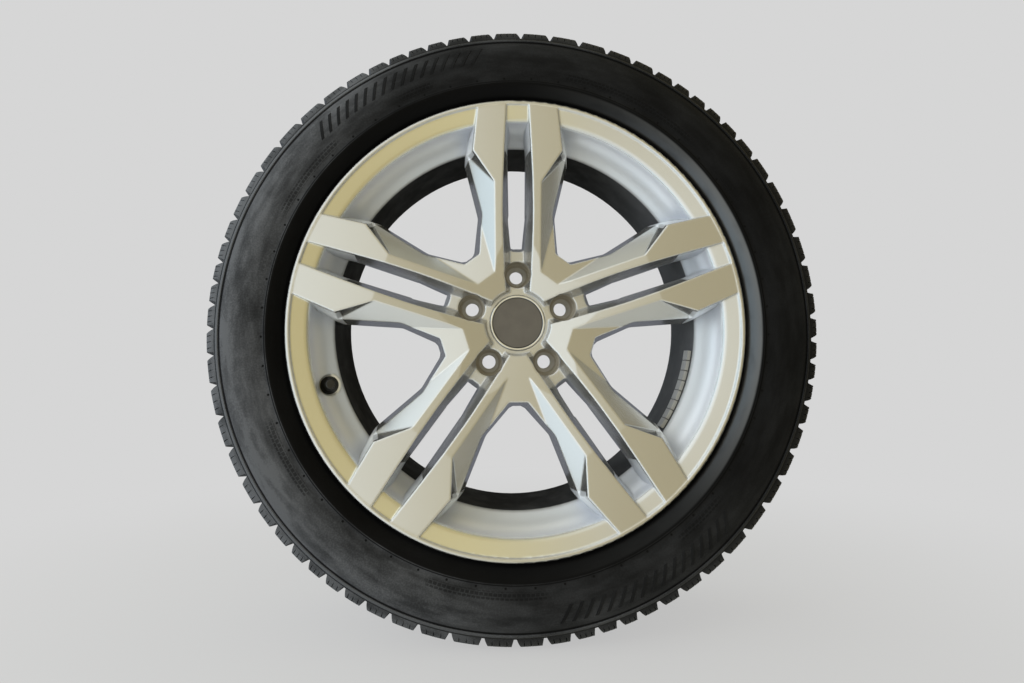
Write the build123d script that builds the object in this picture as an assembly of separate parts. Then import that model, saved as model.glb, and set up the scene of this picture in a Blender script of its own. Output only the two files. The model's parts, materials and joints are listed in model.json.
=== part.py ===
"""Wheel and tyre assembly: a cast wheel with five twin spokes and a winter tyre."""
import os
from math import cos, pi, radians, sin, sqrt, tan
from build123d import *

# Sizes are in millimetres and angles in degrees.
# The wheel turns about Y, its face looks along -Y and Z is up.

# Rim, measured at the bead seats and between the flanges.
SEAT_DIAMETER = 482.6
RIM_WIDTH = 203.2
RIM_OFFSET = 39.0
FLANGE_HEIGHT = 17.3
FLANGE_WIDTH = 11.4
BEAD_SEAT = 21.0
SEAT_TAPER = 5.0
SEAT_WALL = 8.2
DISH_WALL = 9.8
DISH_SOFT = 55.0
DISH_EDGE = 3.0
WELL_DROP = 20.3
WELL_WALL = 6.5
WELL_SLOPE = 20.0
REAR_LEDGE = 18.0
LIP_WIDTH = 4.8
LIP_STEP = 2.2
BAND_WIDTH = 20.0
BAND_DEPTH = 6.5

# Spokes. Depths run back from the flange plane, widths are from a pair's centre line.
SPOKE_PAIRS = 5
PAD_DEPTH = 0.3
PAD_FALL = 0.03
PAD_LENGTH = 60.0
PAD_HALF = 51.0
PAD_TAPER = 5.5
PAD_DRAFT = 15.0
KINK_RUN = 35.0
RIB_HALF = 26.0
RIB_FLARE = 1.0
RIB_FALL = 0.105
FACET_WIDTH = 15.0
FACET_SLOPE = 0.8
WEB_RADIUS = 90.0
WEB_HALF = 10.5
WEB_SLOPE = 0.11
CREST_RADIUS = 62.0
CREST_SLOPE = 0.2
WINDOW_DEPTH = 20.0
WINDOW_DRAFT = 9.0
WINDOW_CORNER = 3.0
SLOT_OUTER_HALF = 13.1
SLOT_INNER_HALF = 23.5
SLOT_DEPTH = 33.0
SLOT_LAND = 9.5
SLOT_RIM_HALF = 4.0
SLOT_THROAT_OUTER = 11.2
SLOT_THROAT_MIDDLE = 10.0
SLOT_THROAT_INNER = 7.0
THROAT_FLARE = 1.5
THROAT_RUN = 9.0
SPOKE_BACK = 57.0
SPOKE_ARCH = 6.0
HOLLOW_DEPTH = 20.0
HOLLOW_WALL = 7.0

# Hub, bolt circle and centre bore.
BOLT_CIRCLE = 112.0
BOLT_HOLE = 16.0
BOLT_POCKET = 31.2
BOLT_SEAT = 27.0
BOLT_SEAT_DEPTH = 20.0
HUB_FLOOR = 31.0
HUB_RADIUS = 82.5
HUB_PAD = 75.0
HUB_RECESS = 36.5
BORE_DIAMETER = 66.6
BORE_LENGTH = 23.0
BORE_CHAMFER = 1.5
HUB_STEP = 1.0
LIGHTENING_DEPTH = 14.0
LIGHTENING_WALL = 12.0
LIGHTENING_EDGE = 8.0
LIGHTENING_SPREAD = 0.24

# Centre cap.
CAP_DIAMETER = 63.0
CAP_SEAT = 4.0
CAP_PROUD = 2.8
CAP_HOLE = 57.0
CAP_FACE = 57.0
CAP_FACE_THICK = 1.4
CAP_RING_HEIGHT = 1.8
CAP_LEGS = 8
CAP_LEG_WIDTH = 10.0
CAP_LEG_THICK = 1.8
CAP_BARB = 0.9
CAP_WIRE = 1.4
CAP_WIRE_GAP = 30.0

# Tyre section.
TYRE_WIDTH = 245.0
TYRE_ASPECT = 0.45
TREAD_WIDTH = 200.0
TREAD_DEPTH = 7.8
TREAD_BASE = 8.2
CROWN_DROP = 2.2
SHOULDER_DROP = 5.6
BUTTRESS = 23.0
RING_HEIGHT = 0.9
PROTECTOR_RISE = 16.4
SIDE_WALL = 11.0
BEAD_WIDTH = 18.0
RIB_GROOVE = 8.0
RIB_GROOVE_AT = 20.0
MAIN_GROOVE = 9.0
MAIN_GROOVE_AT = 58.0

# Tread pitches: the blocks grow and shrink around the tyre to break up its hum.
PITCHES = 72
PITCH_WAVES = 6
PITCH_SPREAD = 0.2
PITCH_PHASE = 50.0
SHOULDER_GROOVE = 6.0
SHOULDER_SKEW = 7.0
MIDDLE_GROOVE = 4.0
MIDDLE_SKEW = 16.0
GROOVE_FLANK = 0.32

# Valve, along its own axis from the spot face in the rim wall.
VALVE_TILT = 15.0
VALVE_SINK = 4.0
VALVE_SPOT = 24.0
VALVE_RIM = 1.5
VALVE_HOLE = 11.5
VALVE_WALL = 4.2
VALVE_LENGTH = 33.0
VALVE_COLLAR = 20.6
VALVE_THREAD = 7.7
THREAD_LENGTH = 11.0
STEM_DIAMETER = 5.8
STEM_ROOT = 8.0
STEM_GRIP = 1.0
VALVE_CAP = 10.4
VALVE_CAP_LENGTH = 12.8
VALVE_CAP_ROOF = 1.3
CAP_GRIPS = 12
SEAL_THICK = 0.8

# Valve core, measured down from the tip of the stem.
CORE_SINK = 0.6
PLUG_DIAMETER = 4.45
PLUG_LENGTH = 5.8
PLUG_SLOT = 1.2
CORE_DIAMETER = 3.5
CORE_LENGTH = 10.5
CORE_HEAD = 1.2
CORE_SEAL = 3.6
CORE_FLOOR = 1.0
CHAMBER_LENGTH = 7.0
PIN_DIAMETER = 0.92
PIN_SINK = 1.0
PIN_HEAD = 0.8
PIN_COLLAR = 0.6
CUP_LENGTH = 2.3
CUP_DROP = 1.2
CUP_LIP = 0.7
SPRING_TURNS = 6

# Stick-on balance weights.
WEIGHTS = 8
WEIGHT_LENGTH = 11.6
WEIGHT_GAP = 1.0
WEIGHT_WIDTH = 19.0
WEIGHT_THICK = 4.0
WEIGHT_START = 9.0
WEIGHT_SETBACK = 5.0
TAPE_THICK = 0.9

# Fit between pieces that touch along curved faces.
FIT = 0.25

OUT = "parts"

seat_r = SEAT_DIAMETER / 2
flange_r = seat_r + FLANGE_HEIGHT
well_r = seat_r - WELL_DROP
barrel_r = well_r - WELL_WALL
under_r = seat_r - SEAT_WALL
dish_r = seat_r - DISH_WALL
lip_r = flange_r - LIP_WIDTH
band_r = lip_r - BAND_WIDTH
seat_fall = BEAD_SEAT * tan(radians(SEAT_TAPER))
seat_end = FLANGE_WIDTH + BEAD_SEAT
well_start = seat_end + WELL_SLOPE
rear_ledge = seat_end + REAR_LEDGE / 2
rear_well = seat_end + REAR_LEDGE + WELL_DROP / 2
face_y = -RIM_WIDTH / 2 - FLANGE_WIDTH
pair_angle = 360 / SPOKE_PAIRS
half_pair = radians(pair_angle / 2)
bolt_r = BOLT_CIRCLE / 2
mount_y = -RIM_OFFSET
floor_y = face_y + HUB_FLOOR
cap_seat_y = floor_y + CAP_SEAT
bore_ledge_y = mount_y - BORE_LENGTH
catch_y = cap_seat_y + (bore_ledge_y - cap_seat_y) / 3
outer_r = seat_r + TYRE_WIDTH * TYRE_ASPECT


def front(depth):
    """Y at a depth behind the front flange plane."""
    return face_y + depth


def rear(depth):
    """Y at a depth in front of the rear flange plane."""
    return -face_y - depth


def ring(points, radii=0, angle=360):
    """Turn an outline of (radius, y) points about the wheel's axis."""
    return revolve(make_face(FilletPolyline(*points, radius=radii, close=True)), Axis.Y, angle)


def turned(points):
    """Turn an outline of (radius, height) points about Z, for pieces with their own axis."""
    outline = Polyline(*[(r, 0, z) for r, z in points], close=True)
    return revolve(make_face(outline), Axis.Z, 360)


def prism(points, depth, length, radii=0, taper=0):
    """A block with an outline of (x, z) points, running back from a depth."""
    plan = [(x, front(depth), z) for x, z in points]
    outline = make_face(FilletPolyline(*plan, radius=radii, close=True))
    return extrude(outline, length, dir=(0, 1, 0), taper=taper)


def around(piece, count):
    """Equal copies of a piece around the wheel's axis."""
    return [piece.rotate(Axis.Y, i * 360 / count) for i in range(count)]


def in_front_of(block, a, b, c):
    """The piece of a block on the face side of the plane through three points."""
    normal = (b - a).cross(c - a).normalized()
    if normal.Y > 0:
        normal = -normal
    return split(block, Plane(origin=a, z_dir=normal), keep=Keep.TOP)


# Rim
def make_rim():
    nose = 0.19 * FLANGE_WIDTH
    hook = 0.72 * FLANGE_WIDTH
    heel = 0.33 * FLANGE_HEIGHT
    visible = [
        (flange_r, front(0)),
        (lip_r, front(0)),
        (lip_r - LIP_STEP / 2, front(LIP_STEP)),
        (band_r, front(BAND_DEPTH)),
        (dish_r, front(seat_end)),
        (barrel_r, front(well_start)),
        (barrel_r + WELL_WALL / 4, rear(rear_well)),
        (under_r, rear(rear_ledge)),
        (under_r + LIP_STEP / 4, rear(FLANGE_WIDTH - LIP_STEP)),
        (lip_r - LIP_WIDTH, rear(0)),
        (flange_r, rear(0)),
    ]
    hump = WELL_DROP / 40
    ledge = WELL_DROP / 6
    hidden = [
        (flange_r, rear(FLANGE_WIDTH)),
        (seat_r, rear(FLANGE_WIDTH)),
        (seat_r - seat_fall, rear(seat_end)),
        (seat_r - hump, rear(seat_end + REAR_LEDGE / 5)),
        (seat_r - ledge, rear(rear_ledge)),
        (well_r + WELL_WALL / 4, rear(rear_well + WELL_WALL / 2)),
        (well_r, front(well_start + WELL_WALL / 2)),
        (seat_r - ledge, front(seat_end + WELL_SLOPE * 0.4)),
        (seat_r - hump, front(seat_end + WELL_SLOPE * 0.2)),
        (seat_r - seat_fall, front(seat_end)),
        (seat_r, front(FLANGE_WIDTH)),
        (flange_r, front(FLANGE_WIDTH)),
    ]
    radii = [nose, 0.5 * nose, 0.4 * nose, BAND_DEPTH, DISH_SOFT, DISH_EDGE, 0, 0, 0, 0, nose]
    radii += [hook, heel, 0, 0, 0, 0, 0, 0, 0, 0, heel, hook]
    return ring(visible + hidden, radii)


# Face of one spoke pair, as depths behind the flange plane.
kink_out = flange_r - PAD_LENGTH
kink_in = kink_out - KINK_RUN
waist_r = (WEB_RADIUS + kink_in) / 2
throat_end = HUB_RADIUS + THROAT_RUN
slot_end = barrel_r - SLOT_LAND
bend_depth = PAD_DEPTH + PAD_FALL * (lip_r - kink_in)
crest_depth = bend_depth + RIB_FALL * (kink_in - CREST_RADIUS * cos(half_pair))
rib_edge = RIB_HALF + RIB_FLARE
facet_foot = RIB_HALF + RIB_FLARE / 2 + FACET_WIDTH


def rib_depth(r):
    return bend_depth + RIB_FALL * (kink_in - r)


def web_point(r, side, depth):
    """A point at a radius along a window's centre line, set off to one side."""
    x = r * sin(half_pair) + side * cos(half_pair)
    z = r * cos(half_pair) - side * sin(half_pair)
    return Vector(x, front(depth), z)


def to_window(x, z):
    """A spoke-pair point seen from the next window's centre line."""
    across = z * sin(half_pair) - x * cos(half_pair)
    along = z * cos(half_pair) + x * sin(half_pair)
    return across, along


def make_spoke_block():
    reach = flange_r
    side = [
        (0, front(rib_depth(0)), 0),
        (0, front(bend_depth), kink_in),
        (0, front(PAD_DEPTH - PAD_FALL * FLANGE_HEIGHT), lip_r + FLANGE_HEIGHT),
        (0, front(SPOKE_BACK), lip_r + FLANGE_HEIGHT),
        (0, front(SPOKE_BACK), barrel_r),
        (0, front(SPOKE_BACK - SPOKE_ARCH), waist_r),
        (0, mount_y - LIGHTENING_DEPTH / 2, HUB_PAD),
        (0, mount_y - LIGHTENING_DEPTH / 2, 0),
    ]
    bar = extrude(make_face(Polyline(*side, close=True)), reach, dir=(1, 0, 0), both=True)
    near = HUB_RECESS / 2
    far = reach / cos(half_pair)
    wedge = [
        (-near * sin(half_pair), near * cos(half_pair)),
        (near * sin(half_pair), near * cos(half_pair)),
        (far * sin(half_pair), far * cos(half_pair)),
        (-far * sin(half_pair), far * cos(half_pair)),
    ]
    deep = 2 * RIM_WIDTH
    inside = ring([
        (0, front(-deep)),
        (lip_r + LIP_WIDTH / 4, front(-deep)),
        (lip_r + LIP_WIDTH / 4, front(LIP_STEP)),
        ((band_r + seat_r) / 2, front(FLANGE_WIDTH)),
        ((dish_r + seat_r - seat_fall) / 2, front(seat_end)),
        ((barrel_r + well_r) / 2, front(well_start + WELL_WALL / 4)),
        ((barrel_r + well_r) / 2, front(deep)),
        (0, front(deep)),
    ])
    crest_a = web_point(CREST_RADIUS, 0, crest_depth)
    crest_b = web_point(CREST_RADIUS, RIB_HALF, crest_depth)
    crest_c = web_point(0, 0, crest_depth + CREST_SLOPE * CREST_RADIUS)
    half = [(0, near * cos(half_pair)), wedge[1], wedge[2], (0, far * cos(half_pair))]
    nose = in_front_of(prism(half, -deep, 2 * deep), crest_a, crest_b, crest_c)
    block = bar & prism(wedge, -deep, 2 * deep) & inside
    return block - nose - nose.mirror(Plane.YZ)


def make_valley():
    """The hollow beside a rib: its sides are the pad's walls, its floor the facet and web."""
    lean = (PAD_HALF - rib_edge) / KINK_RUN
    inset = RIB_HALF - FACET_WIDTH
    start = kink_in - (rib_edge - inset) / lean
    top = flange_r + FLANGE_HEIGHT
    drift = PAD_TAPER / PAD_LENGTH
    plan = [
        (inset, CREST_RADIUS / 2),
        (inset, start),
        (PAD_HALF, kink_out),
        (PAD_HALF - drift * (top - kink_out), top),
        (top, top),
        (top, CREST_RADIUS / 2),
    ]
    block = prism(plan, PAD_DEPTH - LIP_STEP, SPOKE_BACK, 0, PAD_DRAFT)
    edge_a = Vector(rib_edge, front(rib_depth(kink_in)), kink_in)
    edge_b = Vector(RIB_HALF, front(rib_depth(CREST_RADIUS)), CREST_RADIUS)
    drop = rib_depth(waist_r) + FACET_SLOPE * FACET_WIDTH
    foot = Vector(facet_foot, front(drop), waist_r)
    block = in_front_of(block, edge_a, edge_b, foot)
    web_a = web_point(CREST_RADIUS, 0, crest_depth)
    web_b = web_point(CREST_RADIUS, RIB_HALF, crest_depth)
    web_c = web_point(waist_r, 0, crest_depth + WEB_SLOPE * (waist_r - CREST_RADIUS))
    return in_front_of(block, web_a, web_b, web_c)


def make_window():
    top = flange_r + FLANGE_HEIGHT
    flare = (SPOKE_BACK / 2) * tan(radians(PAD_DRAFT))
    drift = PAD_TAPER / PAD_LENGTH
    kink = to_window(PAD_HALF + flare, kink_out)
    waist = to_window(facet_foot, waist_r)
    rim_end = to_window(PAD_HALF + 0.4 * flare - drift * (top - kink_out), top)
    half = [(WEB_HALF, WEB_RADIUS), waist, kink, rim_end]
    plan = half + [(-x, z) for x, z in reversed(half)]
    soft = 5 * WINDOW_CORNER
    radii = [WINDOW_CORNER, soft, WINDOW_CORNER, 0, 0, WINDOW_CORNER, soft, WINDOW_CORNER]
    cut = prism(plan, 0, WINDOW_DEPTH, radii)
    cut += prism(plan, WINDOW_DEPTH, 1.5 * SPOKE_BACK, radii, WINDOW_DRAFT)
    return cut.rotate(Axis.Y, pair_angle / 2)


def make_slot():
    """The groove between two spokes: its walls close in down to the throat."""
    top = flange_r + FLANGE_HEIGHT
    near = HUB_RECESS / 2
    spread = (SLOT_INNER_HALF - SLOT_OUTER_HALF) / (lip_r - bolt_r)
    throat = [
        (SLOT_THROAT_INNER, near),
        (SLOT_THROAT_INNER, throat_end),
        (SLOT_THROAT_MIDDLE, waist_r),
        (SLOT_THROAT_OUTER, slot_end),
        (SLOT_RIM_HALF, top),
    ]
    mouth = [(SLOT_OUTER_HALF + spread * (lip_r - r), r) for x, r in throat]
    faces = []
    for half, depth in ((mouth, 0), (throat, SLOT_DEPTH)):
        plan = half + [(-x, z) for x, z in reversed(half)]
        faces.append(make_face(Polyline(*[(x, front(depth), z) for x, z in plan], close=True)))
    deep = throat + [(-x, z) for x, z in reversed(throat)]
    return loft(faces, ruled=True) + prism(deep, SLOT_DEPTH, SPOKE_BACK)


def make_throat():
    """The round-ended way through beyond each bolt pocket."""
    faces = []
    for end, flare, depth in (
        (HUB_RADIUS, THROAT_FLARE, HUB_FLOOR - LIP_STEP),
        (throat_end, 0, SPOKE_BACK),
        (throat_end, 0, 2 * SPOKE_BACK),
    ):
        low = SLOT_THROAT_INNER + flare
        high = SLOT_THROAT_MIDDLE + flare
        plan = [(low, end), (high, waist_r), (-high, waist_r), (-low, end)]
        at = [(x, front(depth), z) for x, z in plan]
        corner = 0.6 * low
        faces.append(make_face(FilletPolyline(*at, radius=[corner, 0, 0, corner], close=True)))
    return loft(faces, ruled=True)


def make_hollow():
    """The pocket cast into the back of one spoke to save weight."""
    inner = SLOT_THROAT_OUTER + HOLLOW_WALL
    low = HUB_RADIUS + 4 * HOLLOW_WALL
    narrow = RIB_HALF + HOLLOW_WALL
    wide = PAD_HALF - HOLLOW_WALL / 2
    high = barrel_r - 2 * HOLLOW_WALL
    plan = [(inner, low), (narrow, low), (narrow, waist_r), (wide, high), (inner, high)]
    at = [(x, front(2 * SPOKE_BACK), z) for x, z in plan]
    shape = make_face(FilletPolyline(*at, radius=0.6 * HOLLOW_WALL, close=True))
    return extrude(shape, SPOKE_BACK + SPOKE_ARCH + HOLLOW_DEPTH, dir=(0, -1, 0))


def make_sector():
    sector = make_spoke_block()
    valley = make_valley()
    window = make_window()
    hollow = make_hollow()
    sector -= valley + valley.mirror(Plane.YZ)
    sector -= make_slot()
    sector -= window
    sector -= window.mirror(Plane.YZ)
    sector -= hollow
    sector -= hollow.mirror(Plane.YZ)
    return sector


# Hub
def make_hub():
    skirt = WEB_RADIUS - HUB_STEP
    return ring([
        (0, floor_y),
        (skirt, floor_y),
        (skirt, mount_y - LIGHTENING_DEPTH),
        (HUB_PAD, mount_y),
        (0, mount_y),
    ])


def make_bolt_cut():
    """A bolt's pocket, its ball seat and its hole."""
    seat = floor_y + BOLT_SEAT_DEPTH
    start = floor_y - HUB_FLOOR
    end = mount_y + HUB_FLOOR
    ball = BOLT_SEAT / 2
    hole = BOLT_HOLE / 2
    pocket = BOLT_POCKET / 2
    middle = (ball + hole) / 2
    foot = seat + sqrt(ball**2 - hole**2)
    shaft = Polyline((hole, foot), (hole, end), (0, end), (0, start))
    mouth = Polyline((0, start), (pocket, start), (pocket, seat), (ball, seat))
    round_seat = ThreePointArc((ball, seat), (middle, seat + sqrt(ball**2 - middle**2)), (hole, foot))
    cut = revolve(make_face([*shaft.edges(), *mouth.edges(), round_seat]), Axis.Y, 360)
    return cut.translate((0, 0, bolt_r))


def make_bore_cut():
    """The hub bore, and in front of it the cap's hole with the groove its barbs catch in."""
    bore = BORE_DIAMETER / 2
    hole = CAP_HOLE / 2
    groove_r = hole + CAP_BARB + FIT
    groove_end = bore_ledge_y - (bore_ledge_y - cap_seat_y) / 6
    return ring([
        (0, floor_y - HUB_FLOOR),
        (CAP_DIAMETER / 2 + FIT, floor_y - HUB_FLOOR),
        (CAP_DIAMETER / 2 + FIT, cap_seat_y),
        (hole, cap_seat_y),
        (hole, catch_y),
        (groove_r, catch_y),
        (groove_r, groove_end),
        (hole, groove_end),
        (hole, bore_ledge_y),
        (bore, bore_ledge_y),
        (bore, mount_y - BORE_CHAMFER),
        (bore + BORE_CHAMFER, mount_y),
        (bore + BORE_CHAMFER, mount_y + HUB_FLOOR),
        (0, mount_y + HUB_FLOOR),
    ])


def make_lightening():
    """The pocket between two bolt holes in the mounting face."""
    low = BORE_DIAMETER / 2 + LIGHTENING_WALL
    high = HUB_PAD - LIGHTENING_EDGE
    half_low = LIGHTENING_SPREAD * low
    half_high = LIGHTENING_SPREAD * high
    plan = [(half_low, low), (half_high, high), (-half_high, high), (-half_low, low)]
    at = [(x, mount_y, z) for x, z in plan]
    shape = make_face(FilletPolyline(*at, radius=0.4 * half_low, close=True))
    return extrude(shape, LIGHTENING_DEPTH, dir=(0, -1, 0)).rotate(Axis.Y, pair_angle / 2)


# Valve frame: the valve stands in the middle of a window, square to its spot face.
valve_angle = radians(90 + 1.5 * pair_angle)
valve_radial = Vector(cos(valve_angle), 0, sin(valve_angle))
valve_axis = valve_radial * -sin(radians(VALVE_TILT)) + Vector(0, -cos(radians(VALVE_TILT)), 0)
valve_r = dish_r + (barrel_r - dish_r) * 0.3
valve_depth = seat_end + WELL_SLOPE * 0.3
valve_mouth = valve_radial * valve_r + Vector(0, front(valve_depth), 0)
valve_frame = Plane(
    origin=valve_mouth - valve_axis * VALVE_SINK,
    x_dir=Vector(0, 1, 0).cross(valve_radial),
    z_dir=valve_axis,
)


def at_valve(piece):
    """Move a piece made about Z into the valve's place."""
    return valve_frame.location * piece


def make_valve_boss():
    """The pad in the rim wall that the valve stands on."""
    pad = VALVE_SPOT / 2 + VALVE_RIM
    return at_valve(turned([(0, 0), (pad, 0), (pad, -VALVE_WALL), (0, -VALVE_WALL)]))


def make_valve_cut():
    spot = VALVE_SPOT / 2
    hole = VALVE_HOLE / 2
    far = VALVE_LENGTH
    return at_valve(turned([
        (0, far),
        (spot, far),
        (spot, 0),
        (hole, 0),
        (hole, -VALVE_WALL),
        (spot, -VALVE_WALL),
        (spot, -far / 2),
        (0, -far / 2),
    ]))


def make_wheel():
    sector = make_sector()
    disc = make_hub()
    for copy in around(sector, SPOKE_PAIRS):
        disc += copy
    recess = ring([
        (0, floor_y),
        (HUB_RECESS, floor_y),
        (HUB_RECESS + HUB_FLOOR * 0.15, floor_y - HUB_FLOOR),
        (0, floor_y - HUB_FLOOR),
    ])
    disc -= recess
    disc -= around(make_throat(), SPOKE_PAIRS)
    disc -= around(make_bolt_cut(), SPOKE_PAIRS)
    disc -= around(make_lightening(), SPOKE_PAIRS)
    disc -= make_bore_cut()
    return make_rim() + make_valve_boss() + disc - make_valve_cut()


# Tyre
half_tread = TREAD_WIDTH / 2
half_tyre = TYRE_WIDTH / 2
half_rim = RIM_WIDTH / 2
widest_r = flange_r + 0.42 * (outer_r - flange_r)
ring_r = outer_r - BUTTRESS
floor_r = outer_r - TREAD_DEPTH


def crown_r(w):
    """Radius of the tread at a distance from its centre line."""
    return outer_r - CROWN_DROP * (w / half_tread) ** 2


def groove(centre, width):
    """Section of one groove around the tread, from its outer edge to its inner one."""
    half = width / 2
    foot = half - GROOVE_FLANK * TREAD_DEPTH / 2
    return [
        (crown_r(centre + half), centre + half),
        (floor_r - CROWN_DROP * (centre / half_tread) ** 2, centre + foot),
        (floor_r - CROWN_DROP * (centre / half_tread) ** 2, centre - foot),
        (crown_r(centre - half), centre - half),
    ]


def tyre_outside():
    """Outer half section, as (radius, distance from the centre line), from bead to crown."""
    toe = RIM_WIDTH / 2 - BEAD_WIDTH
    buttress_w = half_tread + 0.45 * BUTTRESS / 2
    ring_w = half_tyre - 0.42 * (half_tyre - half_tread)
    bead = [
        (seat_r + FIT - BEAD_WIDTH * tan(radians(SEAT_TAPER)), toe),
        (seat_r + FIT, half_rim - FLANGE_HEIGHT / 3),
        (seat_r + FLANGE_HEIGHT / 3, half_rim - FIT),
        (seat_r + 0.65 * FLANGE_HEIGHT, half_rim - FIT),
        (flange_r - LIP_STEP / 2, half_rim + LIP_STEP / 2),
        (flange_r + LIP_STEP, half_rim + 0.5 * FLANGE_WIDTH),
    ]
    wall = [
        (flange_r + 0.7 * PROTECTOR_RISE, half_tyre - 5 * RING_HEIGHT),
        (flange_r + PROTECTOR_RISE, half_tyre - 1.6 * RING_HEIGHT),
        (flange_r + 1.25 * PROTECTOR_RISE, half_tyre - 1.8 * RING_HEIGHT),
        (widest_r, half_tyre),
        ((widest_r + ring_r) / 2, half_tyre - 0.11 * (half_tyre - half_tread)),
        (ring_r - 5 * RING_HEIGHT, half_tyre - 0.31 * (half_tyre - half_tread)),
        (ring_r - 2 * RING_HEIGHT, ring_w + 2 * RING_HEIGHT),
        (ring_r, ring_w + RING_HEIGHT),
        (ring_r + RING_HEIGHT, ring_w - RING_HEIGHT),
        (outer_r - BUTTRESS / 2, buttress_w),
        (outer_r - SHOULDER_DROP, half_tread),
        (crown_r(0.94 * half_tread), 0.9 * half_tread),
    ]
    return bead + wall + groove(MAIN_GROOVE_AT, MAIN_GROOVE) + groove(RIB_GROOVE_AT, RIB_GROOVE)


def tyre_inside():
    """Inner half section, from crown to bead."""
    inner = floor_r - TREAD_BASE
    return [
        (inner, 0),
        (inner - CROWN_DROP, 0.85 * half_tread),
        (inner - 0.5 * BUTTRESS, half_tread + 0.1 * BUTTRESS),
        (widest_r, half_tyre - SIDE_WALL),
        (flange_r + 0.5 * PROTECTOR_RISE, half_tyre - 1.7 * SIDE_WALL),
        (flange_r - 0.3 * FLANGE_HEIGHT, half_rim - 0.6 * BEAD_WIDTH),
    ]


def pitch_angles():
    """Where each tread pitch starts, with pitches that swell and shrink in waves."""
    phase = radians(PITCH_PHASE * PITCH_WAVES)
    lengths = []
    for i in range(PITCHES):
        lengths.append(1 + PITCH_SPREAD * cos(2 * pi * PITCH_WAVES * i / PITCHES - phase))
    scale = 360 / sum(lengths)
    return [scale * sum(lengths[:i]) for i in range(PITCHES)]


def cross_groove(width, start, end, skew, fall):
    """A cutter for one groove across the tread, from one distance out to another."""
    depth = TREAD_DEPTH - GROOVE_FLANK
    low = width / 2 - GROOVE_FLANK * depth / 2
    high = low + GROOVE_FLANK * 2 * depth
    base = crown_r(start) - depth
    top = base + 2 * depth + fall
    section = [(-low, base), (low, base), (high, top), (-high, top)]
    plan = make_face(Polyline(*[(x, -start, z) for x, z in section], close=True))
    run = Vector((end - start) * tan(radians(skew)), start - end, -fall)
    return extrude(plan, run.length, dir=run.normalized())


def make_tyre():
    outside = tyre_outside()
    inside = tyre_inside()
    section = [(r, -w) for r, w in outside]
    section += [(outer_r, 0)]
    section += [(r, w) for r, w in reversed(outside)]
    section += [(r, w) for r, w in reversed(inside[1:])]
    section += [(r, -w) for r, w in inside]
    body = ring(section)
    reach = half_tread + BUTTRESS
    shoulder = cross_groove(SHOULDER_GROOVE, MAIN_GROOVE_AT, reach, SHOULDER_SKEW, 0.4 * BUTTRESS)
    middle = cross_groove(MIDDLE_GROOVE, RIB_GROOVE_AT, MAIN_GROOVE_AT, MIDDLE_SKEW, 0)
    cutters = []
    for angle in pitch_angles():
        for cutter in (shoulder, middle):
            cutters.append(cutter.rotate(Axis.Y, -angle))
            far = cutter.mirror(Plane.XZ)
            cutters.append(far.rotate(Axis.Y, -angle - 180 / PITCHES))
    return body - cutters


# Centre cap
cap_front_y = floor_y - CAP_PROUD
cap_base_y = cap_front_y + CAP_RING_HEIGHT
leg_r = CAP_HOLE / 2 - FIT


def make_cap_body():
    rim_r = CAP_DIAMETER / 2
    rib_r = CAP_FACE / 2 + FIT
    back = leg_r - 2 * CAP_LEG_THICK
    end = catch_y + 0.75 * (bore_ledge_y - catch_y)
    disc = ring([
        (0, cap_base_y),
        (rib_r, cap_base_y),
        (rib_r, cap_base_y - CAP_RING_HEIGHT / 2),
        (rib_r + FIT, cap_base_y - CAP_RING_HEIGHT / 2),
        (rib_r + FIT, cap_base_y),
        (rim_r, cap_base_y),
        (rim_r, cap_seat_y),
        (back, cap_seat_y),
        (back, cap_base_y + CAP_LEG_THICK),
        (0, cap_base_y + CAP_LEG_THICK),
    ])
    legs = ring([
        (leg_r - CAP_LEG_THICK, cap_seat_y - CAP_LEG_THICK / 2),
        (leg_r, cap_seat_y - CAP_LEG_THICK / 2),
        (leg_r, catch_y + FIT),
        (leg_r + CAP_BARB, catch_y + FIT),
        (leg_r + CAP_BARB, catch_y + CAP_BARB),
        (leg_r, end),
        (leg_r - CAP_LEG_THICK, end),
    ])
    keep = Box(CAP_LEG_WIDTH, 2 * HUB_FLOOR, CAP_DIAMETER).translate((0, floor_y, CAP_DIAMETER / 2))
    for copy in around(keep, CAP_LEGS):
        disc += legs & copy
    return disc


def make_cap_face():
    edge = CAP_FACE / 2
    front_y = cap_base_y - CAP_FACE_THICK
    soft = CAP_FACE_THICK / 4
    return ring([
        (0, front_y),
        (edge - soft, front_y),
        (edge, front_y + soft),
        (edge, cap_base_y),
        (0, cap_base_y),
    ])


def make_cap_ring():
    outer = CAP_DIAMETER / 2
    inner = CAP_FACE / 2 + 3 * FIT
    soft = CAP_RING_HEIGHT / 3
    return ring(
        [(inner, cap_front_y), (outer, cap_front_y), (outer, cap_base_y), (inner, cap_base_y)],
        [soft, soft, 0, 0],
    )


def make_cap_spring():
    wire = CAP_WIRE / 2
    centre = leg_r - CAP_LEG_THICK - wire - FIT / 2
    height = catch_y + CAP_LEG_THICK
    return revolve(Pos(centre, height) * Circle(wire), Axis.Y, 360 - CAP_WIRE_GAP)


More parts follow.
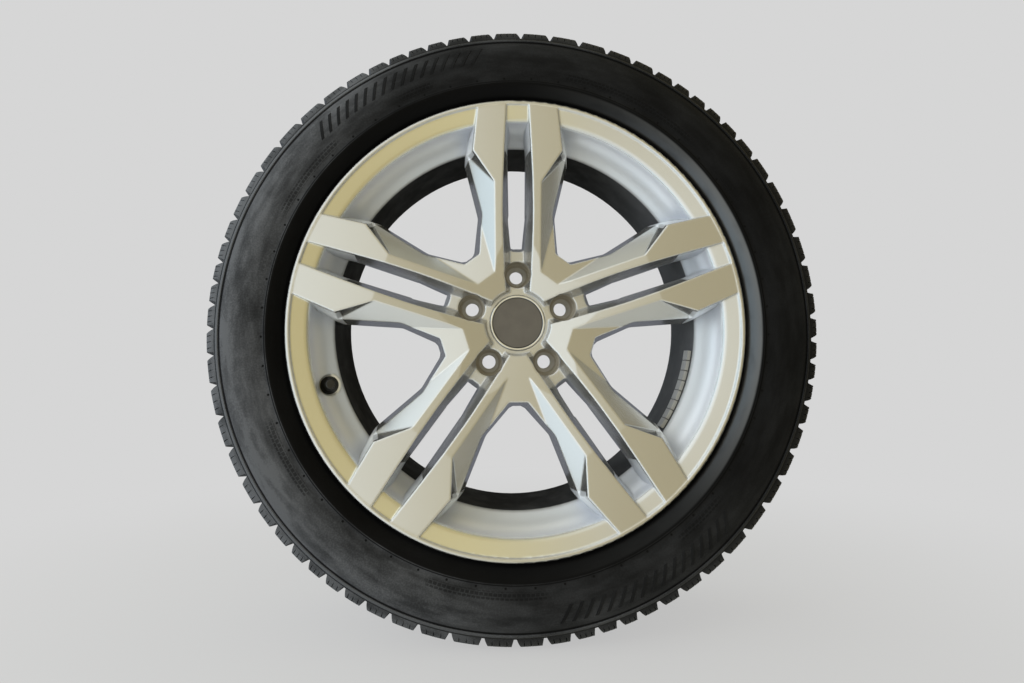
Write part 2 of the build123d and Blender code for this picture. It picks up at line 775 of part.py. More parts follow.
# Valve pieces stand on Z here, with the spot face at zero.
clear = FIT / 2
tip = VALVE_LENGTH
thread_r = VALVE_THREAD / 2
thread_low = tip - THREAD_LENGTH
stem_r = STEM_DIAMETER / 2
root = -VALVE_WALL - STEM_ROOT
plug_r = PLUG_DIAMETER / 2
plug_bore = 0.43 * plug_r
plug_high = tip - CORE_SINK
plug_low = plug_high - PLUG_LENGTH
core_r = CORE_DIAMETER / 2
core_bore = 0.6 * core_r
core_neck = 0.8 * core_r
core_high = plug_low - clear
core_low = core_high - CORE_LENGTH
seal_high = core_high - CORE_HEAD
seal_low = seal_high - CORE_SEAL
pin_r = PIN_DIAMETER / 2
collar_high = plug_low - CORE_SINK
collar_low = collar_high - PIN_COLLAR
cup_r = core_r - clear
cup_high = core_low - CUP_DROP
cup_floor = cup_high - CUP_LIP
cup_low = cup_high - CUP_LENGTH
cap_roof = tip + SEAL_THICK + clear


def make_valve_rubber():
    collar = VALVE_COLLAR / 2
    hole = VALVE_HOLE / 2 - clear
    bulb = 0.9 * collar
    inner = stem_r + clear / 2
    top = thread_low - STEM_GRIP
    return turned([
        (inner, root),
        (0.8 * bulb, root),
        (bulb, -VALVE_WALL),
        (hole, -VALVE_WALL),
        (hole, 0),
        (collar, 0),
        (collar, 0.16 * collar),
        (0.64 * collar, 0.45 * collar),
        (0.49 * collar, top),
        (inner, top),
    ])


def make_valve_stem():
    chamber = core_low - CHAMBER_LENGTH
    inlet = 0.75 * core_r
    return turned([
        (inlet, root),
        (stem_r, root),
        (stem_r, thread_low),
        (thread_r, thread_low),
        (thread_r, tip - FIT),
        (thread_r - FIT, tip),
        (plug_r + clear, tip),
        (plug_r + clear, seal_high),
        (core_r + clear, (seal_high + seal_low) / 2),
        (core_r + clear, chamber),
        (inlet, chamber),
    ])


def make_core_plug():
    """The threaded top of the core, with a slot across it for a key."""
    body = turned([(plug_bore, plug_low), (plug_r, plug_low), (plug_r, plug_high), (plug_bore, plug_high)])
    slot = Box(2 * thread_r, plug_bore, 2 * PLUG_SLOT).translate((0, 0, plug_high))
    return body - slot


def make_core_barrel():
    hole = pin_r + clear
    head = plug_r - clear
    return turned([
        (hole, core_low),
        (core_r, core_low),
        (core_r, seal_low),
        (core_neck, seal_low),
        (core_neck, seal_high),
        (head, core_high - CORE_HEAD / 2),
        (head, core_high),
        (core_bore, core_high),
        (core_bore, core_low + CORE_FLOOR),
        (hole, core_low + CORE_FLOOR),
    ])


def make_core_barrel_seal():
    """The soft sleeve on the barrel, which the stem's cone squeezes."""
    inner = core_neck + clear / 4
    outer = core_r + clear / 2
    low = seal_low + clear
    high = seal_high - clear
    return turned([(inner, low), (outer, low), (outer, (low + high) / 2 - clear), (inner, high)])


def make_core_pin():
    head = plug_bore - clear
    collar = core_bore - clear
    low = cup_low - CORE_SINK / 2
    high = tip - PIN_SINK
    return turned([
        (0, low),
        (pin_r, low),
        (pin_r, collar_low),
        (collar, collar_low),
        (collar, collar_high),
        (pin_r, collar_high),
        (pin_r, high - PIN_HEAD),
        (head, high - PIN_HEAD),
        (head, high),
        (0, high),
    ])


def make_core_spring():
    wire = 0.4 * (core_bore - pin_r)
    low = core_low + CORE_FLOOR + wire
    turns = collar_low - wire - low
    path = Helix(pitch=turns / SPRING_TURNS, height=turns, radius=(core_bore + pin_r) / 2)
    start = Plane(origin=path @ 0, z_dir=path % 0)
    return sweep(start * Rectangle(wire, wire), path=path).translate((0, 0, low))


def make_core_cup():
    hole = pin_r + clear / 4
    lip = 0.8 * cup_r
    return turned([
        (hole, cup_low),
        (cup_r, cup_low),
        (cup_r, cup_high),
        (lip, cup_high),
        (lip, cup_floor),
        (hole, cup_floor),
    ])


def make_core_cup_seal():
    """The soft washer that the spring pulls up against the barrel's floor."""
    hole = pin_r + clear / 4
    outer = 0.8 * cup_r - clear / 4
    high = core_low - clear / 2
    return turned([(hole, cup_floor), (outer, cup_floor), (outer, high), (hole, high)])


def make_valve_cap():
    outer = VALVE_CAP / 2
    bore = thread_r + FIT
    top = cap_roof + VALVE_CAP_ROOF
    low = top - VALVE_CAP_LENGTH
    soft = 0.15 * outer
    cap = turned([
        (0, cap_roof),
        (bore, cap_roof),
        (bore, low),
        (outer, low),
        (outer, top - soft),
        (outer - soft, top),
        (0, top),
    ])
    flute = Cylinder(0.8 * soft, VALVE_CAP_LENGTH)
    flute = flute.translate((outer + soft / 4, 0, low + soft + VALVE_CAP_LENGTH / 2))
    return cap - [flute.rotate(Axis.Z, i * 360 / CAP_GRIPS) for i in range(CAP_GRIPS)]


def make_valve_cap_seal():
    low = tip + clear
    return turned([(plug_r + clear, low), (thread_r, low), (thread_r, cap_roof), (plug_r + clear, cap_roof)])


# Balance weights on the barrel wall
def barrel_wall(y):
    """Radius of the barrel's inner wall at a distance along the axis."""
    start = front(well_start)
    return barrel_r + WELL_WALL / 4 * (y - start) / (rear(rear_well) - start)


def stuck_on(low, high, length):
    """A band of the barrel wall's shape between two heights above it."""
    start = front(well_start + WEIGHT_SETBACK)
    end = start + WEIGHT_WIDTH
    section = [
        (barrel_wall(start) - low, start),
        (barrel_wall(end) - low, end),
        (barrel_wall(end) - high, end),
        (barrel_wall(start) - high, start),
    ]
    return ring(section, 0, length / barrel_r * 180 / pi).rotate(Axis.Y, WEIGHT_START)


def make_weight_tape():
    return stuck_on(FIT / 4, TAPE_THICK, WEIGHTS * (WEIGHT_LENGTH + WEIGHT_GAP) - WEIGHT_GAP)


def make_balance_weights():
    first = stuck_on(TAPE_THICK + FIT / 4, TAPE_THICK + WEIGHT_THICK, WEIGHT_LENGTH)
    step = (WEIGHT_LENGTH + WEIGHT_GAP) / barrel_r * 180 / pi
    return Compound(children=[first.rotate(Axis.Y, i * step) for i in range(WEIGHTS)])


nodes = {
    "alloy_wheel": make_wheel(),
    "tyre": make_tyre(),
    "cap_body": make_cap_body(),
    "cap_face": make_cap_face(),
    "cap_ring": make_cap_ring(),
    "cap_spring": make_cap_spring(),
    "valve_rubber": at_valve(make_valve_rubber()),
    "valve_stem": at_valve(make_valve_stem()),
    "core_plug": at_valve(make_core_plug()),
    "core_barrel": at_valve(make_core_barrel()),
    "core_barrel_seal": at_valve(make_core_barrel_seal()),
    "core_pin": at_valve(make_core_pin()),
    "core_spring": at_valve(make_core_spring()),
    "core_cup": at_valve(make_core_cup()),
    "core_cup_seal": at_valve(make_core_cup_seal()),
    "valve_cap": at_valve(make_valve_cap()),
    "valve_cap_seal": at_valve(make_valve_cap_seal()),
    "balance_weights": make_balance_weights(),
    "weight_tape": make_weight_tape(),
}

os.makedirs(OUT, exist_ok=True)
for name, shape in nodes.items():
    export_step(shape, OUT + "/" + name + ".step")
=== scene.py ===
"""Dresses a wheel and tyre assembly: tread and sidewall detail, finishes, studio and camera."""
import json
import math

import bmesh
import bpy
import numpy as np
from bpy.props import FloatProperty, FloatVectorProperty, IntProperty, PointerProperty
from bpy.types import Operator, Panel, PropertyGroup
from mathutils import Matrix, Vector


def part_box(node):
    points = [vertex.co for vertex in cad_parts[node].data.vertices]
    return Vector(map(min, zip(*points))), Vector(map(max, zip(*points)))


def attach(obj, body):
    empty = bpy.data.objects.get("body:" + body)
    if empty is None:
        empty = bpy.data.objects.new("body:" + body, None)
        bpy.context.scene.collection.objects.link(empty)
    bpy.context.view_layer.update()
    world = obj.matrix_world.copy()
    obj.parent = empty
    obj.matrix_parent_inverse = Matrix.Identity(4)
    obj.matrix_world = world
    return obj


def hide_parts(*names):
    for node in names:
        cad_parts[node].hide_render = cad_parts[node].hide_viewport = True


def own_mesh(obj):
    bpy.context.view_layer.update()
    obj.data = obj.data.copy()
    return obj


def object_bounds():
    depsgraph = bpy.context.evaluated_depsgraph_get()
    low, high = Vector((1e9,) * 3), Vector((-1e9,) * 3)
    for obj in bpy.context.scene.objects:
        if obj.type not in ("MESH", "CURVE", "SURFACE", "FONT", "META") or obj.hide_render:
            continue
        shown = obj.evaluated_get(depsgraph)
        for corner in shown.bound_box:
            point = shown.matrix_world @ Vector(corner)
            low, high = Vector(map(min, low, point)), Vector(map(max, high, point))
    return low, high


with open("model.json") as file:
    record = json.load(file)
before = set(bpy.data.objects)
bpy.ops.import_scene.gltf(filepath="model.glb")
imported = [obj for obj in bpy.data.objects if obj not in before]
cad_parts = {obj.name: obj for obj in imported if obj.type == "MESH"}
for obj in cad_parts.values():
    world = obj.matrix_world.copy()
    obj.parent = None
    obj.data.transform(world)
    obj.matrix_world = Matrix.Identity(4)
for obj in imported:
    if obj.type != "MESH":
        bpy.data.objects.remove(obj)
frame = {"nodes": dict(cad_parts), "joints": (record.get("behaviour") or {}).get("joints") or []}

bl_info = {
    "name": "Wheel and Tyre Dresser",
    "version": (1, 0, 0),
    "blender": (4, 5, 0),
    "location": "View3D > Sidebar > Wheel",
    "description": "Builds the tyre's tread, the finishes and the studio of a wheel and tyre assembly",
    "category": "Object",
}

MM = 0.001
FULL_TURN = 2 * math.pi
CAD_BOX = [list(corner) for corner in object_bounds()]
OUTER_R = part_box("tyre")[1][0] / MM
HALF_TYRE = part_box("tyre")[1][1] / MM
PRESS = next(joint for joint in frame["joints"] if joint["name"] == "core_pin_press")

# Kinds of socket in the node groups
NUMBER = "NodeSocketFloat"
COLOUR = "NodeSocketColor"
VECTOR = "NodeSocketVector"

# Half section of the tyre's outside from the bead's toe to the shoulder: radius and width in mm
BEAD_POINTS = (
    (240.0, 83.6), (241.55, 95.8), (247.1, 101.3), (252.5, 101.35), (257.5, 102.7), (260.8, 107.3),
)
WALL_POINTS = (
    (263.6, 111.2), (266.8, 114.8), (270.1, 117.6), (272.6, 119.3), (274.6, 120.5), (276.0, 121.2),
    (277.8, 121.2), (279.0, 120.4), (280.4, 120.2), (284.0, 121.0), (290.0, 121.9), (297.6, 122.4),
    (305.0, 121.9), (312.0, 120.5), (318.0, 118.4), (322.5, 116.4), (325.6, 114.7), (327.4, 113.2),
    (330.0, 111.9), (330.7, 112.6), (331.9, 112.2), (333.6, 110.8), (334.4, 109.2), (335.4, 108.2),
)
BUTTRESS_POINTS = (
    (336.6, 107.6), (338.6, 106.4), (341.2, 104.4), (343.6, 102.4), (345.9, 100.0), (347.5, 97.4), (348.7, 94.2),
)
# Rows across the tread, by their distance from the centre line in mm
SHOULDER_ROWS = (90.0, 84.5, 79.0, 73.5, 68.0)
MIDDLE_ROWS = (50.0, 45.0, 40.0, 35.0, 30.0, 27.0)
CENTRE_ROWS = (12.0, 8.0, 4.0)
# The liner inside the tyre, and its radius at the centre line
LINER_POINTS = (
    (254.0, 91.0), (266.8, 104.0), (297.6, 111.2), (318.0, 106.0), (324.0, 102.3), (333.0, 85.0), (335.0, 45.0),
)
LINER_CROWN = 335.5

# Columns of points in each tread block, those that the plain rows keep, and where the fine cuts lie along the block
FINE_COLUMNS = 13
COARSE_COLUMNS = (0, 2, 4, 7, 10, 12)
SIPE_SHARES = (0.30, 0.52, 0.75)

# Grooves and fine cuts, in mm
CROWN_AT = 100.0  # width where the tread has fallen by the crown drop
LEAN_END = 105.0  # width where the shoulder grooves stop leaning
STAGGER_HALF = 16.0  # half of the width over which the blocks shift by half a pitch
SHOULDER_SPAN = 65.0  # width over which the shoulder grooves fall
SIDE_INSET = 1.25  # how far the sides of the round grooves lean in
CROSS_FOOT = 0.8  # half width of a cross groove's floor
SHOULDER_FOOT = 1.8  # the same on the shoulder
STEEP_SIDE = 0.25  # run of a cross groove's steep side for each mm of depth
SLOPED_SIDE = 0.42  # the same for its other side
SIPE_START = 339.5  # radius where the fine cuts begin
SIPE_RUN = 8.0  # run over which they reach their depth
ZIGZAG_START = 349.0  # radius above which they zigzag

# Raised bars on the sidewall, in mm
BAR_RADII = (301.5, 320.5)
BAR_STEPS = 7
BAR_ARCS = ((math.radians(99.0), math.radians(137.0)), (math.radians(279.0), math.radians(317.0)))
BAR_LEAN = 0.0022  # turn for each mm outward
BAR_MIDDLE = 311.0
BAR_FOOT = 2.3  # half width at the wall
BAR_TOP = 1.9  # half width at the top
BAR_ROOT = -0.5  # depth of the sides below the wall

# Edges that bend by more than this stay sharp
SHARP_ANGLE = math.radians(32.0)

# Where the wheel's paint changes, in metres: limits of the radius, of the depth along the axle or of the side
# The barrel's brake dust and painted shade; its tone turns lighter towards the right side as painted light
BARREL_RADIUS = (0.19, 0.215)
BARREL_DEPTH = (-0.064, -0.056)
BARREL_LIT = (0.08, 0.2)
# A painted warm reflection: a yellowish tint on the left of the rim's band
WARM_REFLECTION_RADIUS = (0.2335, 0.2535, 0.002)
WARM_REFLECTION_DEPTH = (-0.1115, -0.1105)
WARM_REFLECTION_SIDE = (-0.08, 0.12)
DISH_RADIUS = (0.2, 0.2345, 0.001)
DISH_DEPTH = (-0.1085, -0.1045)
SEAT_DEPTH = (-0.0828, -0.0812)
BOLTS = (5.0, 1.25, 0.056)  # count, phase and radius of the bolt circle
POCKET_EDGE = (0.0158, 0.0168)
CONE_EDGE = (0.0112, 0.0122)
CORNER_REACH = 0.03  # how far off a wall still shades a corner
EDGE_RADIUS = 0.0032  # rounding of the edges in the paint
PAINT_DUST = (0.36, 0.33, 0.26)

# How far the wheel's paint changes; four numbers are a value's limits and the amounts at them
# Clouds of brake dust and painted shade in the barrel
SOOT_AND_SHADE_CLOUDS = (0.2, 0.7, 0.965, 1.0)
# Painted shade in the slots and corners, by how little of the room a point sees
CORNER_SHADE_AMOUNTS = (0.3, 0.8, 0.6, 0.0)
# Painted highlights along the rounded edges
EDGE_HIGHLIGHT = (0.86, 0.97, 0.8, 0.0)
# Amounts of the painted warm reflection on the band's left and right sides
WARM_REFLECTION_AMOUNTS = (0.8, 0.0)
CONE_WEAR = 0.5
SEAT_WEAR = 0.85
DISH_DULLNESS = 0.25
PAINT_METAL = 0.9
PAINT_COAT = 0.35
COARSE_ROUGHNESS = 0.2
FLAKE_STRENGTH = 0.4

# Rings on the tyre's wall, in metres: inner and outer radius and softness
SLOPE_BAND = (0.2600, 0.2768, 0.0006)
# Thin rings kept dust-free and dark as painted shade in the wall's grooves
GROOVE_SHADE_BANDS = ((0.3278, 0.3300, 0.0003), (0.3337, 0.3358, 0.0003), (0.2776, 0.2790, 0.0003))
RIDGE_BAND = (0.3304, 0.3334, 0.0003)
SHEEN_BAND = (0.2592, 0.2745, 0.0012)
MARK_BAND = (0.2845, 0.2925, 0.0004)
MARK_BRICKS = {
    "Scale": 1.0, "Mortar Size": 0.0007, "Brick Width": 0.0052, "Row Height": 0.0042, "Mortar Smooth": 0.3,
}
MARK_HEIGHT = 0.0003
VENTS = (56.0, 0.5, 0.2812, 0.0009, 0.0016)  # count, phase, radius of the circle, inner and outer radius of a spot
STREAK_SCALE = (26.0, 90.0, 20.0)  # fineness of the dust's streaks around, outward and along the axle
MARK_CLEANNESS = 0.5
RIB_PITCH = 0.0012  # ribs on the raised bars
RIB_HEIGHT = 0.0001

# Dust, painted light on the left and towards the bottom, and sheen on the tyre's wall: a value's limits and the
# amounts at them
DUST_AND_LIGHT_LEFT = (-0.3, -0.1, 1.35, 0.25)
DUST_AND_SHADE_RIGHT = (-0.1, 0.25, 1.0, 0.4)
DUST_OUTWARD = (0.279, 0.324, 0.6, 1.1)
DUST_STREAKS = (0.25, 0.75, 0.5, 1.4)
DUST_AND_LIGHT_BELOW = ((-0.36, -0.28, 0.03, 0.95), (-0.3, -0.13, 0.05, 0.2))  # turns from and to, softness and amount
# Extra dust on the ridge, also a painted highlight
RIDGE_DUST_AND_HIGHLIGHT = 1.3
CLEANNESS = 0.96
SHEEN_SIDE = (-0.02, 0.24)
SHEEN_BELOW = (-0.15, -0.01, 0.12, 1.0)
SHEEN_ABOVE = (0.05, 0.2, 1.0, 0.4)
SHEEN_STREAKS = (0.2, 0.6, 0.7, 1.05)

# Shared effects, and the valve's brass
WRAP_RADIUS = 0.3  # radius where the pattern around the axle has its true scale
SPECK_FINENESS = 61.0  # how much finer the dust's specks are than its clouds
CLOUD_COVER = (0.3, 0.7, 0.4, 1.0)
SPECK_COVER = (0.35, 0.75, -0.1, 0.1)
DUST_ROUGHNESS = 0.25
THREAD_PITCH = 0.000794
THREAD_HEIGHT = 0.00012
BRASS_TARNISH = (0.2, 0.15, 0.08)

# Finishes of the small parts; a grain has its fineness per metre and its height in metres
SMALL_FINISHES = {
    "cap_satin": {"dusty": (0.2, 0.18, 0.15), "gloss": 0.36, "grain": (1500.0, 0.00004)},
    "cap_plastic": {"base": (0.03, 0.03, 0.03), "dusty": (0.1, 0.09, 0.08), "gloss": 0.5, "grain": (900.0, 0.00006)},
    "bright_trim": {
        "base": (0.86, 0.86, 0.85), "dusty": (0.4, 0.38, 0.34), "gloss": 0.14, "grain": (2000.0, 0.000002),
        "metallic": 1.0},
    "cap_wire": {
        "base": (0.42, 0.42, 0.43), "dusty": (0.2, 0.15, 0.1), "gloss": 0.3, "grain": (2000.0, 0.00002),
        "metallic": 1.0},
    "seal_rubber": {"base": (0.12, 0.03, 0.02), "dusty": (0.2, 0.1, 0.08), "gloss": 0.5, "grain": (2000.0, 0.00003)},
    "core_wire": {
        "base": (0.5, 0.5, 0.5), "dusty": (0.3, 0.28, 0.25), "gloss": 0.25, "grain": (2000.0, 0.00001),
        "metallic": 1.0},
    "valve_body": {
        "base": (0.008, 0.008, 0.008), "dusty": (0.07, 0.065, 0.06), "gloss": 0.45, "grain": (900.0, 0.00006),
        "amount": 0.12},
    "cap_black": {
        "base": (0.007, 0.007, 0.007), "dusty": (0.08, 0.075, 0.07), "gloss": 0.28, "grain": (1200.0, 0.00002),
        "amount": 0.1},
    "weight_metal": {
        "base": (0.42, 0.42, 0.41), "dusty": (0.22, 0.21, 0.2), "gloss": 0.45, "grain": (700.0, 0.00012),
        "metallic": 0.3},
    "tape_foam": {"base": (0.03, 0.03, 0.03), "dusty": (0.1, 0.1, 0.1), "gloss": 0.8, "grain": (500.0, 0.0002)},
}

# The stage, in metres, and the limits between the parts of the room as shares of a direction
FLOOR_HALF = 4.0
FLOOR_TONE = (0.6, 0.6, 0.6)
SHADOW_FADE = (0.2, 1.2, 0.72, 1.0)  # share of plain background over the floor, from near the wheel outward
GROUND_EDGE = (-0.8, -0.4)
CEILING_EDGE = (0.7, 0.95)
REAR_EDGE = (0.5, 0.85)
REAR_TONE = (0.17, 0.18, 0.21)
LAMP_SIZE = (0.5, 1.2)
LAMP_TINT = (0.92, 0.97, 1.0)
LAMP_PLACE = (-1.15, -1.05, 0.15)
LAMP_TURN = (math.radians(84.0), 0.0, math.radians(-50.0))
SENSOR_WIDTH = 36.0
NEAR_CLIP = 0.01

# The room's light from left to right: windows on the left, a warm wall behind the camera, a dim right side
WALL_STOPS = (
    (0.0, (1.0, 1.2, 1.32)), (0.06, (1.12, 1.32, 1.44)), (0.17, (1.36, 1.42, 1.4)), (0.28, (1.26, 1.3, 1.24)),
    (0.39, (1.12, 1.14, 1.06)), (0.46, (0.96, 0.94, 0.8)), (0.52, (0.74, 0.68, 0.47)), (0.6, (0.57, 0.5, 0.31)),
    (0.84, (0.5, 0.44, 0.26)), (0.93, (0.34, 0.32, 0.24)), (1.0, (0.28, 0.27, 0.22)),
)
GROUND_STOPS = (
    (0.0, (1.1, 1.32, 1.48)), (0.17, (1.02, 1.2, 1.34)), (0.3, (0.94, 1.0, 1.0)), (0.5, (0.82, 0.82, 0.72)),
    (0.7, (0.64, 0.66, 0.6)), (0.85, (0.58, 0.6, 0.58)), (1.0, (0.36, 0.36, 0.33)),
)
CEILING_STOPS = (
    (0.0, (0.8, 0.84, 0.8)), (0.4, (0.7, 0.71, 0.62)), (0.5, (0.55, 0.55, 0.47)), (0.7, (0.48, 0.47, 0.34)),
    (1.0, (0.3, 0.3, 0.24)),
)


class TreadSettings(PropertyGroup):
    """Sizes of the tyre's tread and sidewall marks."""

    pitches: IntProperty(name="Pitches", description="Number of tread blocks around the tyre", default=72)
    pitch_waves: IntProperty(name="Pitch waves", description="Times the block length swells in one turn", default=6)
    pitch_spread: FloatProperty(
        name="Pitch spread", description="Share by which the block length swells", default=0.2)
    pitch_phase: FloatProperty(
        name="Pitch phase", description="Turn of the swelling blocks", default=math.radians(300.0), subtype="ANGLE")
    depth: FloatProperty(name="Tread depth", description="Depth of the grooves in mm", default=7.8)
    cross_depth: FloatProperty(name="Cross depth", description="Depth of the grooves across in mm", default=7.48)
    main_at: FloatProperty(name="Main groove", description="Distance of the outer grooves in mm", default=58.0)
    main_width: FloatProperty(name="Main width", description="Width of the outer grooves in mm", default=9.0)
    rib_at: FloatProperty(name="Rib groove", description="Distance of the inner grooves in mm", default=20.0)
    rib_width: FloatProperty(name="Rib width", description="Width of the inner grooves in mm", default=8.0)
    crown_drop: FloatProperty(name="Crown drop", description="Fall of the tread at its edges in mm", default=2.2)
    shoulder_fall: FloatProperty(name="Shoulder fall", description="Fall of the shoulder grooves in mm", default=9.2)
    shoulder_skew: FloatProperty(
        name="Shoulder skew", description="Lean of the shoulder grooves", default=math.radians(7.0), subtype="ANGLE")
    middle_skew: FloatProperty(
        name="Middle skew", description="Lean of the middle grooves", default=math.radians(16.0), subtype="ANGLE")
    sipe_depth: FloatProperty(name="Sipe depth", description="Depth of the fine cuts in mm", default=6.0)
    sipe_width: FloatProperty(name="Sipe width", description="Width of the fine cuts in mm", default=1.0)
    sipe_wave: FloatProperty(name="Sipe wave", description="Zigzag of the fine cuts in mm", default=1.2)
    pad_rise: FloatProperty(name="Pad rise", description="Height of the sidewall's raised bars in mm", default=0.6)
    pad_pitch: FloatProperty(
        name="Pad pitch", description="Spacing of the sidewall's raised bars", default=math.radians(2.3),
        subtype="ANGLE")


class FinishSettings(PropertyGroup):
    """Colours of the finishes, and of the painted shade, highlights and reflection."""

    paint: FloatVectorProperty(
        name="Paint", description="Silver paint of the wheel", default=(0.62, 0.615, 0.6), subtype="COLOR")
    # Brake dust and painted shade on the rim's inside
    barrel: FloatVectorProperty(
        name="Barrel", description="Brake dust on the rim's inside", default=(0.034, 0.034, 0.035), subtype="COLOR")
    seat: FloatVectorProperty(
        name="Bolt seat", description="Worn metal in the bolt pockets", default=(0.5, 0.45, 0.36), subtype="COLOR")
    dish: FloatVectorProperty(
        name="Dish", description="Duller paint in the rim's hollow", default=(0.92, 0.94, 0.98), subtype="COLOR")
    # Wear on the bolt cones, and painted highlights along the edges
    wear_and_edge_highlight: FloatVectorProperty(
        name="Worn edge", description="Thin bright paint along the edges", default=(0.9, 0.91, 0.92), subtype="COLOR")
    # A painted warm reflection on the left of the rim's band
    warm_reflection_tint: FloatVectorProperty(
        name="Film", description="Thin yellowish film on the rim's band", default=(0.8, 0.76, 0.55), subtype="COLOR")
    # Painted shade, a bluish grey, in the wheel's slots and corners
    painted_corner_shade: FloatVectorProperty(
        name="Recess", description="Thin dust in the wheel's slots and corners", default=(0.4, 0.43, 0.5),
        subtype="COLOR")
    rubber: FloatVectorProperty(
        name="Rubber", description="Clean tyre rubber", default=(0.003, 0.003, 0.0034), subtype="COLOR")
    # Also gives the barrel its lighter painted tone towards the right side, which is painted light
    dust: FloatVectorProperty(
        name="Dust", description="Road dust on the tyre", default=(0.105, 0.107, 0.115), subtype="COLOR")
    cap: FloatVectorProperty(
        name="Cap", description="Satin face of the centre cap", default=(0.1, 0.088, 0.076), subtype="COLOR")
    brass: FloatVectorProperty(
        name="Brass", description="Valve stem and core", default=(0.62, 0.45, 0.18), subtype="COLOR")


class StudioSettings(PropertyGroup):
    """Camera, background and lamp."""

    background: FloatVectorProperty(
        name="Background", description="Pale grey seen behind the wheel", default=(0.672, 0.672, 0.672),
        subtype="COLOR")
    camera_place: FloatVectorProperty(
        name="Camera place", description="Where the camera stands", default=(-0.03834, -0.90179, -0.03722),
        subtype="TRANSLATION", unit="LENGTH")
    camera_turn: FloatVectorProperty(
        name="Camera turn", description="How the camera is turned",
        default=(math.radians(97.85), math.radians(0.334), math.radians(-2.861)), subtype="EULER")
    lens: FloatProperty(name="Lens", description="Focal length for a 36 mm sensor", default=24.75)
    shift: FloatVectorProperty(
        name="Shift", description="Sideways and upward shift of the lens", size=2, default=(-0.0078, -0.0815))
    key_power: FloatProperty(name="Key power", description="Power of the left lamp", default=8.0, unit="POWER")


class Tree:
    """Adds nodes to one node tree, sets their sockets and links them."""

    def __init__(self, tree):
        self.tree = tree

    def add(self, kind, inputs=None, **settings):
        """A new node with its settings and inputs."""
        node = self.tree.nodes.new(kind)
        for name, value in settings.items():
            setattr(node, name, value)
        for key, value in (inputs or {}).items():
            self.put(node.inputs[key], value)
        return node

    def put(self, socket, value):
        """Links a socket to the input, or sets a plain value on it."""
        if isinstance(value, bpy.types.NodeSocket):
            self.tree.links.new(value, socket)
        else:
            socket.default_value = value

    def math(self, operation, a, b=0.0, c=0.0, clamp=False):
        return self.add("ShaderNodeMath", {0: a, 1: b, 2: c}, operation=operation, use_clamp=clamp).outputs[0]

    def product(self, value, *factors):
        for factor in factors:
            value = self.math("MULTIPLY", value, factor)
        return value

    def largest(self, value, *others):
        for other in others:
            value = self.math("MAXIMUM", value, other)
        return value

    def rest(self, value):
        """What is left of one."""
        return self.math("SUBTRACT", 1.0, value)

    def mix(self, factor, a, b):
        return self.add("ShaderNodeMix", {0: factor, 6: a, 7: b}, data_type="RGBA").outputs[2]

    def vector(self, operation, a, b=(0.0, 0.0, 0.0)):
        """The number that a vector operation gives, for a length or a dot product."""
        return self.add("ShaderNodeVectorMath", {0: a, 1: b}, operation=operation).outputs["Value"]

    def noise(self, vector, scale, detail=2.0):
        return self.add("ShaderNodeTexNoise", {"Vector": vector, "Scale": scale, "Detail": detail}).outputs[0]

    def fade(self, value, low, high, start=0.0, end=1.0):
        """Goes smoothly from start to end as a value goes from low to high."""
        inputs = {"Value": value, "From Min": low, "From Max": high, "To Min": start, "To Max": end}
        return self.add("ShaderNodeMapRange", inputs, interpolation_type="SMOOTHSTEP").outputs[0]

    def band(self, value, low, high, soft):
        """One between two limits and zero outside them, with soft edges."""
        rise = self.fade(value, low - soft, low + soft)
        fall = self.fade(value, high - soft, high + soft, 1.0, 0.0)
        return self.product(rise, fall)

    def spots(self, polar, count, phase, radius, inner, outer):
        """One inside round spots spaced evenly about the axle, and zero outside them."""
        fold = self.math("SUBTRACT", self.product(polar["Turn"], count), phase)
        fold = self.math("SUBTRACT", fold, self.math("ROUND", fold))
        aside = self.product(fold, FULL_TURN / count * radius)
        outward = self.math("SUBTRACT", polar["Radius"], radius)
        offset = self.add("ShaderNodeCombineXYZ", {0: aside, 1: outward}).outputs[0]
        return self.fade(self.vector("LENGTH", offset), inner, outer, 1.0, 0.0)

    def group(self, group, **inputs):
        """The outputs of a node group whose inputs are given by name, with _ for a space."""
        node = self.add("ShaderNodeGroup", node_tree=group)
        for key, value in inputs.items():
            self.put(node.inputs[key.replace("_", " ")], value)
        return node.outputs


def colour(value):
    """A colour with full alpha."""
    return (value[0], value[1], value[2], 1.0)


def new_group(name, inputs, outputs):
    """An empty shader node group with named sockets, its tree helper, its input sockets and its output node."""
    group = bpy.data.node_groups.new(name, "ShaderNodeTree")
    for label, kind in inputs:
        group.interface.new_socket(label, in_out="INPUT", socket_type=kind)
    for label, kind in outputs:
        group.interface.new_socket(label, in_out="OUTPUT", socket_type=kind)
    tree = Tree(group)
    return group, tree, tree.add("NodeGroupInput").outputs, tree.add("NodeGroupOutput").inputs


def axle_polar():
    """Radius, turn and depth about the wheel's axle, a vector that runs around it, and the place across it."""
    name = "axle_polar"
    if name in bpy.data.node_groups:
        return bpy.data.node_groups[name]
    outputs = (("Radius", NUMBER), ("Turn", NUMBER), ("Depth", NUMBER), ("Around", VECTOR), ("Side", NUMBER))
    group, tree, _, result = new_group(name, (), outputs)
    place = tree.add("ShaderNodeTexCoord").outputs["Object"]
    axes = tree.add("ShaderNodeSeparateXYZ", {0: place}).outputs
    flat = tree.add("ShaderNodeCombineXYZ", {0: axes[0], 2: axes[2]}).outputs[0]
    radius = tree.vector("LENGTH", flat)
    turn = tree.math("DIVIDE", tree.math("ARCTAN2", axes[2], axes[0]), FULL_TURN)
    arc = tree.product(turn, FULL_TURN * WRAP_RADIUS)
    around = tree.add("ShaderNodeCombineXYZ", {0: arc, 1: radius, 2: axes[1]}).outputs[0]
    for socket, value in zip(result, (radius, turn, axes[1], around, axes[0])):
        tree.put(socket, value)
    return group


